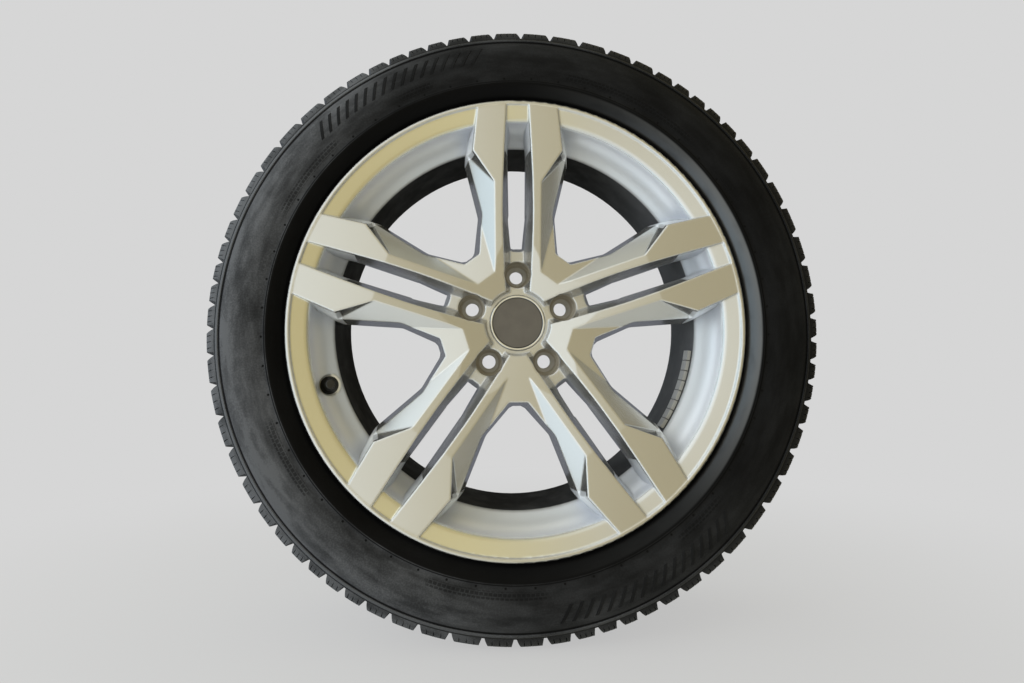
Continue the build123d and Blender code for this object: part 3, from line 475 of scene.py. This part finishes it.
def road_dust():
    """Lays cloudy dust over a colour and roughens it."""
    name = "road_dust"
    if name in bpy.data.node_groups:
        return bpy.data.node_groups[name]
    inputs = (("Color", COLOUR), ("Dust", COLOUR), ("Amount", NUMBER), ("Scale", NUMBER), ("Gloss", NUMBER))
    group, tree, source, result = new_group(name, inputs, (("Color", COLOUR), ("Roughness", NUMBER)))
    place = tree.add("ShaderNodeTexCoord").outputs["Object"]
    clouds = tree.noise(place, source["Scale"], 4.0)
    specks = tree.noise(place, tree.product(source["Scale"], SPECK_FINENESS))
    cover = tree.math("ADD", tree.fade(clouds, *CLOUD_COVER), tree.fade(specks, *SPECK_COVER))
    mask = tree.math("MULTIPLY", cover, source["Amount"], clamp=True)
    tree.put(result["Color"], tree.mix(mask, source["Color"], source["Dust"]))
    tree.put(result["Roughness"], tree.math("MULTIPLY_ADD", mask, DUST_ROUGHNESS, source["Gloss"]))
    return group


def surface_grain():
    """Fine uneven height of a moulded, cast or painted surface."""
    name = "surface_grain"
    if name in bpy.data.node_groups:
        return bpy.data.node_groups[name]
    group, tree, source, result = new_group(name, (("Scale", NUMBER), ("Height", NUMBER)), (("Height", NUMBER),))
    place = tree.add("ShaderNodeTexCoord").outputs["Object"]
    tree.put(result["Height"], tree.product(tree.noise(place, source["Scale"], 3.0), source["Height"]))
    return group


def new_material(name, **constants):
    """A material with a Principled BSDF whose plain values are set on its sockets."""
    material = bpy.data.materials.new(name)
    material.use_nodes = True
    tree = Tree(material.node_tree)
    shader = material.node_tree.nodes["Principled BSDF"]
    for key, value in constants.items():
        tree.put(shader.inputs[key.replace("_", " ")], value)
    return material, tree, shader.inputs


def bump(tree, height, strength=1.0, normal=None):
    """A normal bent by a height in metres."""
    inputs = {"Height": height, "Strength": strength, "Distance": 1.0}
    if normal is not None:
        inputs["Normal"] = normal
    return tree.add("ShaderNodeBump", inputs).outputs[0]


def dress(node, material):
    """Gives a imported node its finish."""
    target = frame["nodes"][node]
    target.data.materials.clear()
    target.data.materials.append(material)


def wheel_paint(finish):
    """Silver paint with flake; a painted warm reflection on the band's left; brake dust and painted shade in the
    barrel, lighter on the right as painted light; rubbed bolt seats; painted shade in corners; painted edge
    highlights.
    """
    material, tree, shader = new_material("wheel_paint", Coat_Roughness=0.08, Coat_IOR=1.5, Specular_IOR_Level=0.0)
    polar = tree.group(axle_polar())
    radius, depth, side = polar["Radius"], polar["Depth"], polar["Side"]
    flake = tree.group(surface_grain(), Scale=2600.0, Height=0.000002)
    dust = tree.group(
        road_dust(), Color=colour(finish.paint), Dust=colour(PAINT_DUST), Amount=0.06, Scale=14.0, Gloss=0.19)
    clouds = tree.fade(tree.noise(polar["Around"], 30.0, 4.0), *SOOT_AND_SHADE_CLOUDS)
    # Brake dust and painted shade, in clouds, down the barrel
    soot_and_shade = tree.product(tree.fade(depth, *BARREL_DEPTH), tree.fade(radius, *BARREL_RADIUS), clouds)
    # A painted warm reflection on the rim's band, fading out towards the right
    warm_reflection_tint = tree.product(tree.band(radius, *WARM_REFLECTION_RADIUS), tree.fade(depth, *WARM_REFLECTION_DEPTH))
    warm_reflection_tint = tree.product(warm_reflection_tint, tree.fade(side, *WARM_REFLECTION_SIDE, *WARM_REFLECTION_AMOUNTS))
    dish = tree.product(tree.band(radius, *DISH_RADIUS), tree.fade(depth, *DISH_DEPTH), tree.rest(soot_and_shade))
    seat = tree.product(tree.spots(polar, *BOLTS, *POCKET_EDGE), tree.fade(depth, *SEAT_DEPTH))
    cone = tree.spots(polar, *BOLTS, *CONE_EDGE)
    base = tree.mix(warm_reflection_tint, dust["Color"], colour(finish.warm_reflection_tint))
    base = tree.mix(dish, base, colour(finish.dish))
    # Painted light: the barrel's tone turns to the tyre dust's lighter colour towards its right side
    lit = tree.fade(side, *BARREL_LIT)
    base = tree.mix(soot_and_shade, base, tree.mix(lit, colour(finish.barrel), colour(finish.dust)))
    worn_seat = tree.mix(tree.product(cone, CONE_WEAR), colour(finish.seat), colour(finish.wear_and_edge_highlight))
    base = tree.mix(tree.product(seat, SEAT_WEAR), base, worn_seat)
    bare_and_shaded = tree.largest(seat, soot_and_shade)
    # Painted shade in the slots and corners, which are also made duller
    open_air = tree.add("ShaderNodeAmbientOcclusion", {"Distance": CORNER_REACH}, samples=4, only_local=True)
    painted_corner_shade = tree.product(tree.fade(open_air.outputs["AO"], *CORNER_SHADE_AMOUNTS), tree.rest(bare_and_shaded))
    base = tree.mix(painted_corner_shade, base, colour(finish.painted_corner_shade))
    bare_and_shaded = tree.largest(bare_and_shaded, painted_corner_shade)
    # Painted highlights along the edges, where the rounded normal bends away from the true one
    edge = tree.add("ShaderNodeBevel", {"Radius": EDGE_RADIUS}, samples=6).outputs[0]
    bend = tree.vector("DOT_PRODUCT", edge, tree.add("ShaderNodeNewGeometry").outputs["Normal"])
    wear_and_edge_highlight = tree.product(tree.fade(bend, *EDGE_HIGHLIGHT), tree.rest(bare_and_shaded))
    tree.put(shader["Base Color"], tree.mix(wear_and_edge_highlight, base, colour(finish.wear_and_edge_highlight)))
    dull = tree.largest(bare_and_shaded, tree.product(dish, DISH_DULLNESS))
    tree.put(shader["Metallic"], tree.product(tree.rest(dull), PAINT_METAL))
    coarse = tree.largest(bare_and_shaded, dish)
    tree.put(shader["Roughness"], tree.math("MULTIPLY_ADD", coarse, COARSE_ROUGHNESS, dust["Roughness"]))
    tree.put(shader["Coat Weight"], tree.product(tree.rest(coarse), PAINT_COAT))
    tree.put(shader["Normal"], bump(tree, flake["Height"], FLAKE_STRENGTH, edge))
    return material


def small_marks(tree, polar):
    """Runs of small plain blocks around the tyre's wall: one on a block and zero elsewhere."""
    bricks = tree.add("ShaderNodeTexBrick", {"Vector": polar["Around"], **MARK_BRICKS})
    around = tree.add("ShaderNodeCombineXYZ", {0: polar["Turn"]}).outputs[0]
    runs = tree.fade(tree.noise(around, 9.0, 1.0), 0.5, 0.53)
    return tree.product(tree.rest(bricks.outputs["Fac"]), tree.band(polar["Radius"], *MARK_BAND), runs)


def tyre_rubber(finish):
    """Dusty rubber: a smooth slope by the rim, a cloudy wall with small raised marks, painted shade in thin groove
    rings, a ridge with dust and a painted highlight, and blocks; more dust on the left and towards the bottom stands
    as painted light.
    """
    material, tree, shader = new_material("tyre_rubber", Specular_IOR_Level=0.06, Coat_IOR=1.9, Coat_Roughness=0.3)
    polar = tree.group(axle_polar())
    radius, turn, side = polar["Radius"], polar["Turn"], polar["Side"]
    lines = [tree.band(radius, *limits) for limits in GROOVE_SHADE_BANDS]
    # Dust-free parts: the smooth slope, the vents, and the groove rings as painted shade
    clean_and_shaded = tree.largest(tree.band(radius, *SLOPE_BAND), *lines, tree.spots(polar, *VENTS))
    drawn = tree.add("ShaderNodeVectorMath", {0: polar["Around"], 1: STREAK_SCALE}, operation="MULTIPLY")
    streaks = tree.noise(drawn.outputs[0], 1.0, 4.0)
    # More dust on the left and towards the bottom as painted light, less on the right as painted shade
    dust_and_side_light = tree.product(tree.fade(side, *DUST_AND_LIGHT_LEFT), tree.fade(side, *DUST_AND_SHADE_RIGHT))
    for first, last, soft, extra in DUST_AND_LIGHT_BELOW:
        dust_and_side_light = tree.math("MULTIPLY_ADD", tree.band(turn, first, last, soft), extra, dust_and_side_light)
    dust_and_side_light = tree.product(dust_and_side_light, tree.fade(radius, *DUST_OUTWARD))
    # The ridge's extra dust, also a painted highlight
    ridge = tree.product(tree.band(radius, *RIDGE_BAND), dust_and_side_light)
    amount = tree.product(tree.fade(streaks, *DUST_STREAKS), dust_and_side_light)
    amount = tree.math("MULTIPLY_ADD", ridge, RIDGE_DUST_AND_HIGHLIGHT, amount)
    amount = tree.product(amount, tree.rest(tree.product(clean_and_shaded, CLEANNESS)))
    dust = tree.group(
        road_dust(), Color=colour(finish.rubber), Dust=colour(finish.dust), Amount=amount, Scale=9.0, Gloss=0.4)
    marks = small_marks(tree, polar)
    tree.put(shader["Base Color"], tree.mix(tree.product(marks, MARK_CLEANNESS), dust["Color"], colour(finish.rubber)))
    tree.put(shader["Roughness"], dust["Roughness"])
    sheen = tree.product(tree.band(radius, *SHEEN_BAND), tree.fade(side, *SHEEN_SIDE))
    sheen = tree.product(sheen, tree.fade(turn, *SHEEN_BELOW), tree.fade(turn, *SHEEN_ABOVE))
    tree.put(shader["Coat Weight"], tree.product(sheen, tree.fade(streaks, *SHEEN_STREAKS)))
    grain = tree.group(surface_grain(), Scale=900.0, Height=0.00012)
    tree.put(shader["Normal"], bump(tree, tree.math("MULTIPLY_ADD", marks, MARK_HEIGHT, grain["Height"]), 0.8))
    return material


def bar_rubber(finish):
    """Darker, finely ribbed rubber of the raised bars."""
    material, tree, shader = new_material("bar_rubber", Specular_IOR_Level=0.06)
    polar = tree.group(axle_polar())
    dust = tree.group(
        road_dust(), Color=colour(finish.rubber), Dust=colour(finish.dust), Amount=0.14, Scale=16.0, Gloss=0.55)
    tree.put(shader["Base Color"], dust["Color"])
    tree.put(shader["Roughness"], dust["Roughness"])
    ribs = tree.math("SINE", tree.product(polar["Radius"], FULL_TURN / RIB_PITCH))
    tree.put(shader["Normal"], bump(tree, tree.product(ribs, RIB_HEIGHT)))
    return material


def plain_finish(name, **changes):
    """A small part's finish from the table: a base colour under light dust, with a fine grain."""
    look = {"metallic": 0.0, "amount": 0.3, **SMALL_FINISHES[name], **changes}
    material, tree, shader = new_material(name, Metallic=look["metallic"])
    dust = tree.group(
        road_dust(), Color=colour(look["base"]), Dust=colour(look["dusty"]), Amount=look["amount"], Scale=60.0,
        Gloss=look["gloss"])
    scale, height = look["grain"]
    grain = tree.group(surface_grain(), Scale=scale, Height=height)
    tree.put(shader["Base Color"], dust["Color"])
    tree.put(shader["Roughness"], dust["Roughness"])
    tree.put(shader["Normal"], bump(tree, grain["Height"]))
    return material


def turned_brass(finish):
    """Brass with a screw thread along the valve's axis."""
    material, tree, shader = new_material("valve_brass", Metallic=1.0)
    along = tree.vector("DOT_PRODUCT", tree.add("ShaderNodeTexCoord").outputs["Object"], PRESS["axis"])
    thread = tree.math("SINE", tree.product(along, FULL_TURN / THREAD_PITCH))
    dust = tree.group(
        road_dust(), Color=colour(finish.brass), Dust=colour(BRASS_TARNISH), Amount=0.35, Scale=150.0, Gloss=0.28)
    tree.put(shader["Base Color"], dust["Color"])
    tree.put(shader["Roughness"], dust["Roughness"])
    tree.put(shader["Normal"], bump(tree, tree.product(thread, THREAD_HEIGHT)))
    return material


def crown(tread, width):
    """Radius of the tread's top at a distance from the centre line."""
    return OUTER_R - tread.crown_drop * (width / CROWN_AT) ** 2


def half_rows(tread):
    """Half section of the outside, from bead to centre: radius, width, and what is cut into the row."""
    rows = [(r, w, "plain") for r, w in BEAD_POINTS + WALL_POINTS]
    rows += [(r, w, "shoulder") for r, w in BUTTRESS_POINTS]
    rows += [(crown(tread, w), w, "shoulder") for w in SHOULDER_ROWS]
    zones = ((tread.main_at, tread.main_width, "shoulder", "middle", MIDDLE_ROWS),
             (tread.rib_at, tread.rib_width, "middle", "centre", CENTRE_ROWS))
    for at, wide, outer, inner, inside in zones:
        half = wide / 2
        foot = half - SIDE_INSET
        low = crown(tread, at) - tread.depth
        rows += [(crown(tread, at + half), at + half, outer + "_edge")]
        rows += [(low, at + foot, "floor"), (low, at - foot, "floor")]
        rows += [(crown(tread, at - half), at - half, inner + "_edge")]
        rows += [(crown(tread, w), w, inner) for w in inside]
    return rows


def tyre_rows(tread):
    """The whole section as a closed loop: front half, centre, rear half, then the liner inside."""
    front = half_rows(tread)
    rows = [(r, -w, kind) for r, w, kind in front]
    rows += [(OUTER_R, 0.0, "centre")]
    rows += [(r, w, kind) for r, w, kind in reversed(front)]
    rows += [(r, w, "plain") for r, w in LINER_POINTS]
    rows += [(LINER_CROWN, 0.0, "plain")]
    rows += [(r, -w, "plain") for r, w in reversed(LINER_POINTS)]
    return rows


def pitch_starts(tread):
    """Angle where each tread block starts, and the angle that it takes up."""
    steps = np.arange(tread.pitches)
    waves = np.cos(2 * np.pi * tread.pitch_waves * steps / tread.pitches - tread.pitch_phase)
    lengths = 1.0 + tread.pitch_spread * waves
    lengths *= 2 * np.pi / lengths.sum()
    starts = np.pi / 2 + np.concatenate(([0.0], np.cumsum(lengths)[:-1]))
    return starts, lengths


def row_lean(tread, width):
    """Angle by which the cross grooves have turned at a distance from the centre line."""
    reach = abs(width)
    lean = 0.0
    if reach >= tread.main_at:
        lean = -(min(reach, LEAN_END) - tread.main_at) * math.tan(tread.shoulder_skew) / OUTER_R
    elif reach >= tread.rib_at:
        lean = -(reach - tread.rib_at) * math.tan(tread.middle_skew) / OUTER_R
    share = min(max((width + STAGGER_HALF) / (2 * STAGGER_HALF), 0.0), 1.0)
    return lean + share * math.pi / tread.pitches


def row_points(tread, index, radius, width, kind):
    """Angles and radii of one fine row of the tread, with its groove and its fine cuts."""
    starts, lengths = pitch_starts(tread)
    zone = kind.replace("_edge", "")
    groove = 0.0
    foot = CROSS_FOOT
    if zone == "shoulder":
        fall = tread.shoulder_fall * (abs(width) - tread.main_at) / SHOULDER_SPAN
        groove = max(0.0, radius - (crown(tread, tread.main_at) - tread.cross_depth - fall))
        foot = SHOULDER_FOOT
    elif zone == "middle":
        groove = tread.cross_depth
    sipe = 0.0
    if kind in ("shoulder", "middle", "centre"):
        sipe = tread.sipe_depth * min(max((radius - SIPE_START) / SIPE_RUN, 0.0), 1.0)
    wave = tread.sipe_wave * (1 if index % 2 else -1) * (1.0 if radius > ZIGZAG_START else 0.0)
    half = tread.sipe_width / 2
    steep = foot + STEEP_SIDE * groove
    sloped = foot + SLOPED_SIDE * groove
    columns = [(0.0, -foot, groove), (0.0, foot, groove), (0.0, sloped, 0.0)]
    for share in SIPE_SHARES:
        columns += [(share, wave - half, 0.0), (share, wave, sipe), (share, wave + half, 0.0)]
    columns += [(1.0, -steep, 0.0)]
    lean = row_lean(tread, width)
    angles = np.stack([starts + lean + share * lengths + aside / OUTER_R for share, aside, _ in columns], axis=1)
    radii = np.tile([radius - cut for _, _, cut in columns], (len(starts), 1))
    return angles.ravel(), radii.ravel()


def tyre_mesh(tread):
    """Points and faces of the tyre: fine rows over the tread, coarser ones on the sidewalls and inside."""
    points, faces, rings = [], [], []
    coarse = np.concatenate([np.array(COARSE_COLUMNS) + i * FINE_COLUMNS for i in range(tread.pitches)])
    count = tread.pitches * FINE_COLUMNS
    for index, (radius, width, kind) in enumerate(tyre_rows(tread)):
        angles, radii = row_points(tread, index, radius, width, kind)
        keep = np.arange(count)
        if kind == "plain":
            keep = coarse
        place = np.stack([radii * np.cos(angles), np.full(count, width), radii * np.sin(angles)], axis=1)[keep]
        start = len(points)
        points.extend((place * MM).tolist())
        rings.append((keep, start))
    for (left, left_at), (right, right_at) in zip(rings, rings[1:] + rings[:1]):
        faces.extend(ring_faces(left, left_at, right, right_at, count))
    return points, faces


def ring_faces(left, left_at, right, right_at, count):
    """Faces between two rows, where one of them may leave out columns that the other has."""
    shared = np.intersect1d(left, right)
    faces = []
    for here, there in zip(shared, np.append(shared[1:], shared[0] + count)):
        near = row_run(left, left_at, here, there, count)
        far = row_run(right, right_at, here, there, count)
        faces.append(near + far[::-1])
    return faces


def row_run(row, start, here, there, count):
    """Points of one row from one column to the next shared one."""
    low = int(np.searchsorted(row, here))
    high = int(np.searchsorted(row, there)) if there < count else len(row)
    return [start + i % len(row) for i in range(low, high + 1)]


def raised_bars(tread, side):
    """Plain slanted bars on one sidewall, in two arcs, each a low block that follows the wall."""
    radii, widths = zip(*WALL_POINTS)
    section = ((-BAR_FOOT, BAR_ROOT), (-BAR_TOP, tread.pad_rise), (BAR_TOP, tread.pad_rise), (BAR_FOOT, BAR_ROOT))
    points, faces = [], []
    for first, last in BAR_ARCS:
        for angle in np.arange(first, last, tread.pad_pitch):
            faces += bar_faces(len(points), len(section))
            for r in np.linspace(*BAR_RADII, BAR_STEPS):
                w = float(np.interp(r, radii, widths))
                lean = angle - BAR_LEAN * (r - BAR_MIDDLE)
                for aside, rise in section:
                    turn = lean + aside / r
                    reach = min(w + rise, HALF_TYRE)
                    points.append((r * math.cos(turn) * MM, side * reach * MM, r * math.sin(turn) * MM))
    return points, faces


def bar_faces(start, size):
    """Faces of one bar whose cross sections have a number of points each: its sides and its two ends."""
    end = start + size * (BAR_STEPS - 1)
    faces = []
    for at in range(start, end, size):
        for i in range(size):
            j = (i + 1) % size
            faces.append([at + i, at + j, at + size + j, at + size + i])
    faces.append(list(reversed(range(start, start + size))))
    faces.append(list(range(end, end + size)))
    return faces


def add_piece(name, points, faces, materials, marks):
    """A smooth-shaded mesh with outward faces, sharp edges and a material for each face."""
    mesh = bpy.data.meshes.new(name)
    mesh.from_pydata(points, [], faces)
    for material in materials:
        mesh.materials.append(material)
    mesh.polygons.foreach_set("material_index", marks)
    cleaner = bmesh.new()
    cleaner.from_mesh(mesh)
    bmesh.ops.recalc_face_normals(cleaner, faces=cleaner.faces)
    cleaner.to_mesh(mesh)
    cleaner.free()
    mesh.shade_smooth()
    mesh.set_sharp_from_angle(angle=SHARP_ANGLE)
    piece = bpy.data.objects.new(name, mesh)
    bpy.context.scene.collection.objects.link(piece)
    return piece


def add_coil(material):
    """The core's spring as a copy of its own with its finish, fixed to the wheel in place of the imported spring."""
    coil = bpy.data.objects.new("core_coil", frame["nodes"]["core_spring"].data.copy())
    coil.data.materials.clear()
    coil.data.materials.append(material)
    bpy.context.scene.collection.objects.link(coil)
    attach(coil, "wheel")
    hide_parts("core_spring")
    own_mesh(coil)


class WHEEL_OT_build_tyre(Operator):
    """Builds the tyre with its tread blocks, fine cuts, sidewall rings and raised bars."""

    bl_idname = "wheel.build_tyre"
    bl_label = "Build tyre"

    def execute(self, context):
        tread = context.scene.wheel_tread
        finish = context.scene.wheel_finish
        points, faces = tyre_mesh(tread)
        marks = [0] * len(faces)
        for side in (-1, 1):
            bar_points, bar_faces = raised_bars(tread, side)
            faces += [[len(points) + i for i in face] for face in bar_faces]
            points += bar_points
            marks += [1] * len(bar_faces)
        tyre = add_piece("tyre_dressed", points, faces, (tyre_rubber(finish), bar_rubber(finish)), marks)
        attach(tyre, "wheel")
        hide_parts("tyre")
        return {"FINISHED"}


class WHEEL_OT_paint_wheel(Operator):
    """Paints the alloy wheel."""

    bl_idname = "wheel.paint_wheel"
    bl_label = "Paint wheel"

    def execute(self, context):
        dress("alloy_wheel", wheel_paint(context.scene.wheel_finish))
        return {"FINISHED"}


class WHEEL_OT_finish_cap(Operator):
    """Finishes the centre cap, its bright ring and its spring."""

    bl_idname = "wheel.finish_cap"
    bl_label = "Finish cap"

    def execute(self, context):
        dress("cap_face", plain_finish("cap_satin", base=context.scene.wheel_finish.cap))
        for node, name in (("cap_body", "cap_plastic"), ("cap_ring", "bright_trim"), ("cap_spring", "cap_wire")):
            dress(node, plain_finish(name))
        return {"FINISHED"}


class WHEEL_OT_finish_valve(Operator):
    """Finishes the valve: rubber body, brass stem and core, seals, spring and cap."""

    bl_idname = "wheel.finish_valve"
    bl_label = "Finish valve"

    def execute(self, context):
        brass = turned_brass(context.scene.wheel_finish)
        for node in ("valve_stem", "core_plug", "core_barrel", "core_pin", "core_cup"):
            dress(node, brass)
        seal = plain_finish("seal_rubber")
        for node in ("core_barrel_seal", "core_cup_seal", "valve_cap_seal"):
            dress(node, seal)
        add_coil(plain_finish("core_wire"))
        dress("valve_rubber", plain_finish("valve_body"))
        dress("valve_cap", plain_finish("cap_black"))
        return {"FINISHED"}


class WHEEL_OT_finish_weights(Operator):
    """Finishes the stick-on balance weights and their tape."""

    bl_idname = "wheel.finish_weights"
    bl_label = "Finish weights"

    def execute(self, context):
        dress("balance_weights", plain_finish("weight_metal"))
        dress("weight_tape", plain_finish("tape_foam"))
        return {"FINISHED"}


class WHEEL_OT_build_stage(Operator):
    """Builds the floor, the room's light, the lamp and the camera."""

    bl_idname = "wheel.build_stage"
    bl_label = "Build stage"

    def execute(self, context):
        studio = context.scene.wheel_studio
        self.build_floor(studio)
        self.build_room(context, studio)
        self.build_lamp(context, studio)
        self.build_camera(context, studio)
        context.scene.view_settings.view_transform = "Standard"
        return {"FINISHED"}

    def build_floor(self, studio):
        """A wide floor in the background's tone, which keeps a little of the wheel's shadow."""
        material = bpy.data.materials.new("studio_floor")
        material.use_nodes = True
        material.node_tree.nodes.clear()
        tree = Tree(material.node_tree)
        away = tree.vector("LENGTH", tree.add("ShaderNodeTexCoord").outputs["Object"])
        pale = tree.add("ShaderNodeBsdfDiffuse", {"Color": colour(FLOOR_TONE)}).outputs[0]
        shown = tree.add("ShaderNodeEmission", {"Color": colour(studio.background)}).outputs[0]
        path = tree.add("ShaderNodeLightPath").outputs
        seen = tree.largest(path["Is Camera Ray"], path["Is Glossy Ray"], path["Is Transmission Ray"])
        share = tree.product(seen, tree.fade(away, *SHADOW_FADE))
        blend = tree.add("ShaderNodeMixShader", {0: share, 1: pale, 2: shown}).outputs[0]
        tree.add("ShaderNodeOutputMaterial", {"Surface": blend})
        mesh = bpy.data.meshes.new("studio_floor")
        half = FLOOR_HALF
        low = CAD_BOX[0][2]
        mesh.from_pydata(
            [(-half, -half, low), (half, -half, low), (half, half, low), (-half, half, low)], [], [(0, 1, 2, 3)])
        mesh.materials.append(material)
        floor = bpy.data.objects.new("studio_floor", mesh)
        bpy.context.scene.collection.objects.link(floor)
        floor.visible_glossy = False

    def build_room(self, context, studio):
        """A room that lights the wheel, where the camera sees the plain background."""
        world = bpy.data.worlds.new("studio_room")
        world.use_nodes = True
        world.node_tree.nodes.clear()
        tree = Tree(world.node_tree)
        way = tree.add("ShaderNodeTexCoord").outputs["Generated"]
        axes = tree.add("ShaderNodeSeparateXYZ", {0: way}).outputs
        side = tree.add(
            "ShaderNodeMapRange", {"Value": axes[0], "From Min": -1.0, "From Max": 1.0}).outputs[0]
        walls, ground, ceiling = (self.ramp(tree, side, stops) for stops in (WALL_STOPS, GROUND_STOPS, CEILING_STOPS))
        room = tree.mix(tree.fade(axes[2], *GROUND_EDGE, 1.0, 0.0), walls, ground)
        room = tree.mix(tree.fade(axes[2], *CEILING_EDGE), room, ceiling)
        room = tree.mix(tree.fade(axes[1], *REAR_EDGE), room, colour(REAR_TONE))
        path = tree.add("ShaderNodeLightPath").outputs
        seen = tree.largest(path["Is Camera Ray"], path["Is Transmission Ray"])
        shown = tree.mix(seen, room, colour(studio.background))
        light = tree.add("ShaderNodeBackground", {"Color": shown, "Strength": 1.0}).outputs[0]
        tree.add("ShaderNodeOutputWorld", {"Surface": light})
        context.scene.world = world

    def ramp(self, tree, value, stops):
        """A colour ramp with its stops."""
        node = tree.add("ShaderNodeValToRGB", {"Fac": value})
        elements = node.color_ramp.elements
        while len(elements) < len(stops):
            elements.new(0.5)
        for element, (place, shade) in zip(elements, stops):
            element.position = place
            element.color = colour(shade)
        return node.outputs[0]

    def build_lamp(self, context, studio):
        """A tall soft lamp on the left, beside the camera."""
        data = bpy.data.lights.new("left_lamp", "AREA")
        data.shape = "RECTANGLE"
        data.size, data.size_y = LAMP_SIZE
        data.energy = studio.key_power
        data.color = LAMP_TINT
        lamp = bpy.data.objects.new("left_lamp", data)
        lamp.location = LAMP_PLACE
        lamp.rotation_euler = LAMP_TURN
        lamp.visible_glossy = False
        context.scene.collection.objects.link(lamp)

    def build_camera(self, context, studio):
        """The camera, with a shifted lens that keeps the photograph's framing."""
        data = bpy.data.cameras.new("photo_camera")
        data.sensor_width = SENSOR_WIDTH
        data.lens = studio.lens
        data.shift_x, data.shift_y = studio.shift
        data.clip_start = NEAR_CLIP
        camera = bpy.data.objects.new("photo_camera", data)
        camera.location = studio.camera_place
        camera.rotation_euler = studio.camera_turn
        context.scene.collection.objects.link(camera)
        context.scene.camera = camera


OPERATORS = (
    WHEEL_OT_build_tyre, WHEEL_OT_paint_wheel, WHEEL_OT_finish_cap, WHEEL_OT_finish_valve, WHEEL_OT_finish_weights,
    WHEEL_OT_build_stage,
)


class WHEEL_PT_dresser(Panel):
    """Lists the steps and the settings in the sidebar."""

    bl_label = "Wheel and tyre"
    bl_space_type = "VIEW_3D"
    bl_region_type = "UI"
    bl_category = "Wheel"

    def draw(self, context):
        for operator in OPERATORS:
            self.layout.operator(operator.bl_idname)
        for settings in (context.scene.wheel_tread, context.scene.wheel_finish, context.scene.wheel_studio):
            box = self.layout.box()
            for name in settings.__annotations__:
                box.prop(settings, name)


CLASSES = (TreadSettings, FinishSettings, StudioSettings) + OPERATORS + (WHEEL_PT_dresser,)


def register():
    for item in CLASSES:
        bpy.utils.register_class(item)
    bpy.types.Scene.wheel_tread = PointerProperty(type=TreadSettings)
    bpy.types.Scene.wheel_finish = PointerProperty(type=FinishSettings)
    bpy.types.Scene.wheel_studio = PointerProperty(type=StudioSettings)


def unregister():
    del bpy.types.Scene.wheel_studio
    del bpy.types.Scene.wheel_finish
    del bpy.types.Scene.wheel_tread
    for item in reversed(CLASSES):
        bpy.utils.unregister_class(item)


def main():
    register()
    for operator in OPERATORS:
        category, name = operator.bl_idname.split(".")
        getattr(getattr(bpy.ops, category), name)()


if __name__ == "__main__":
    main()
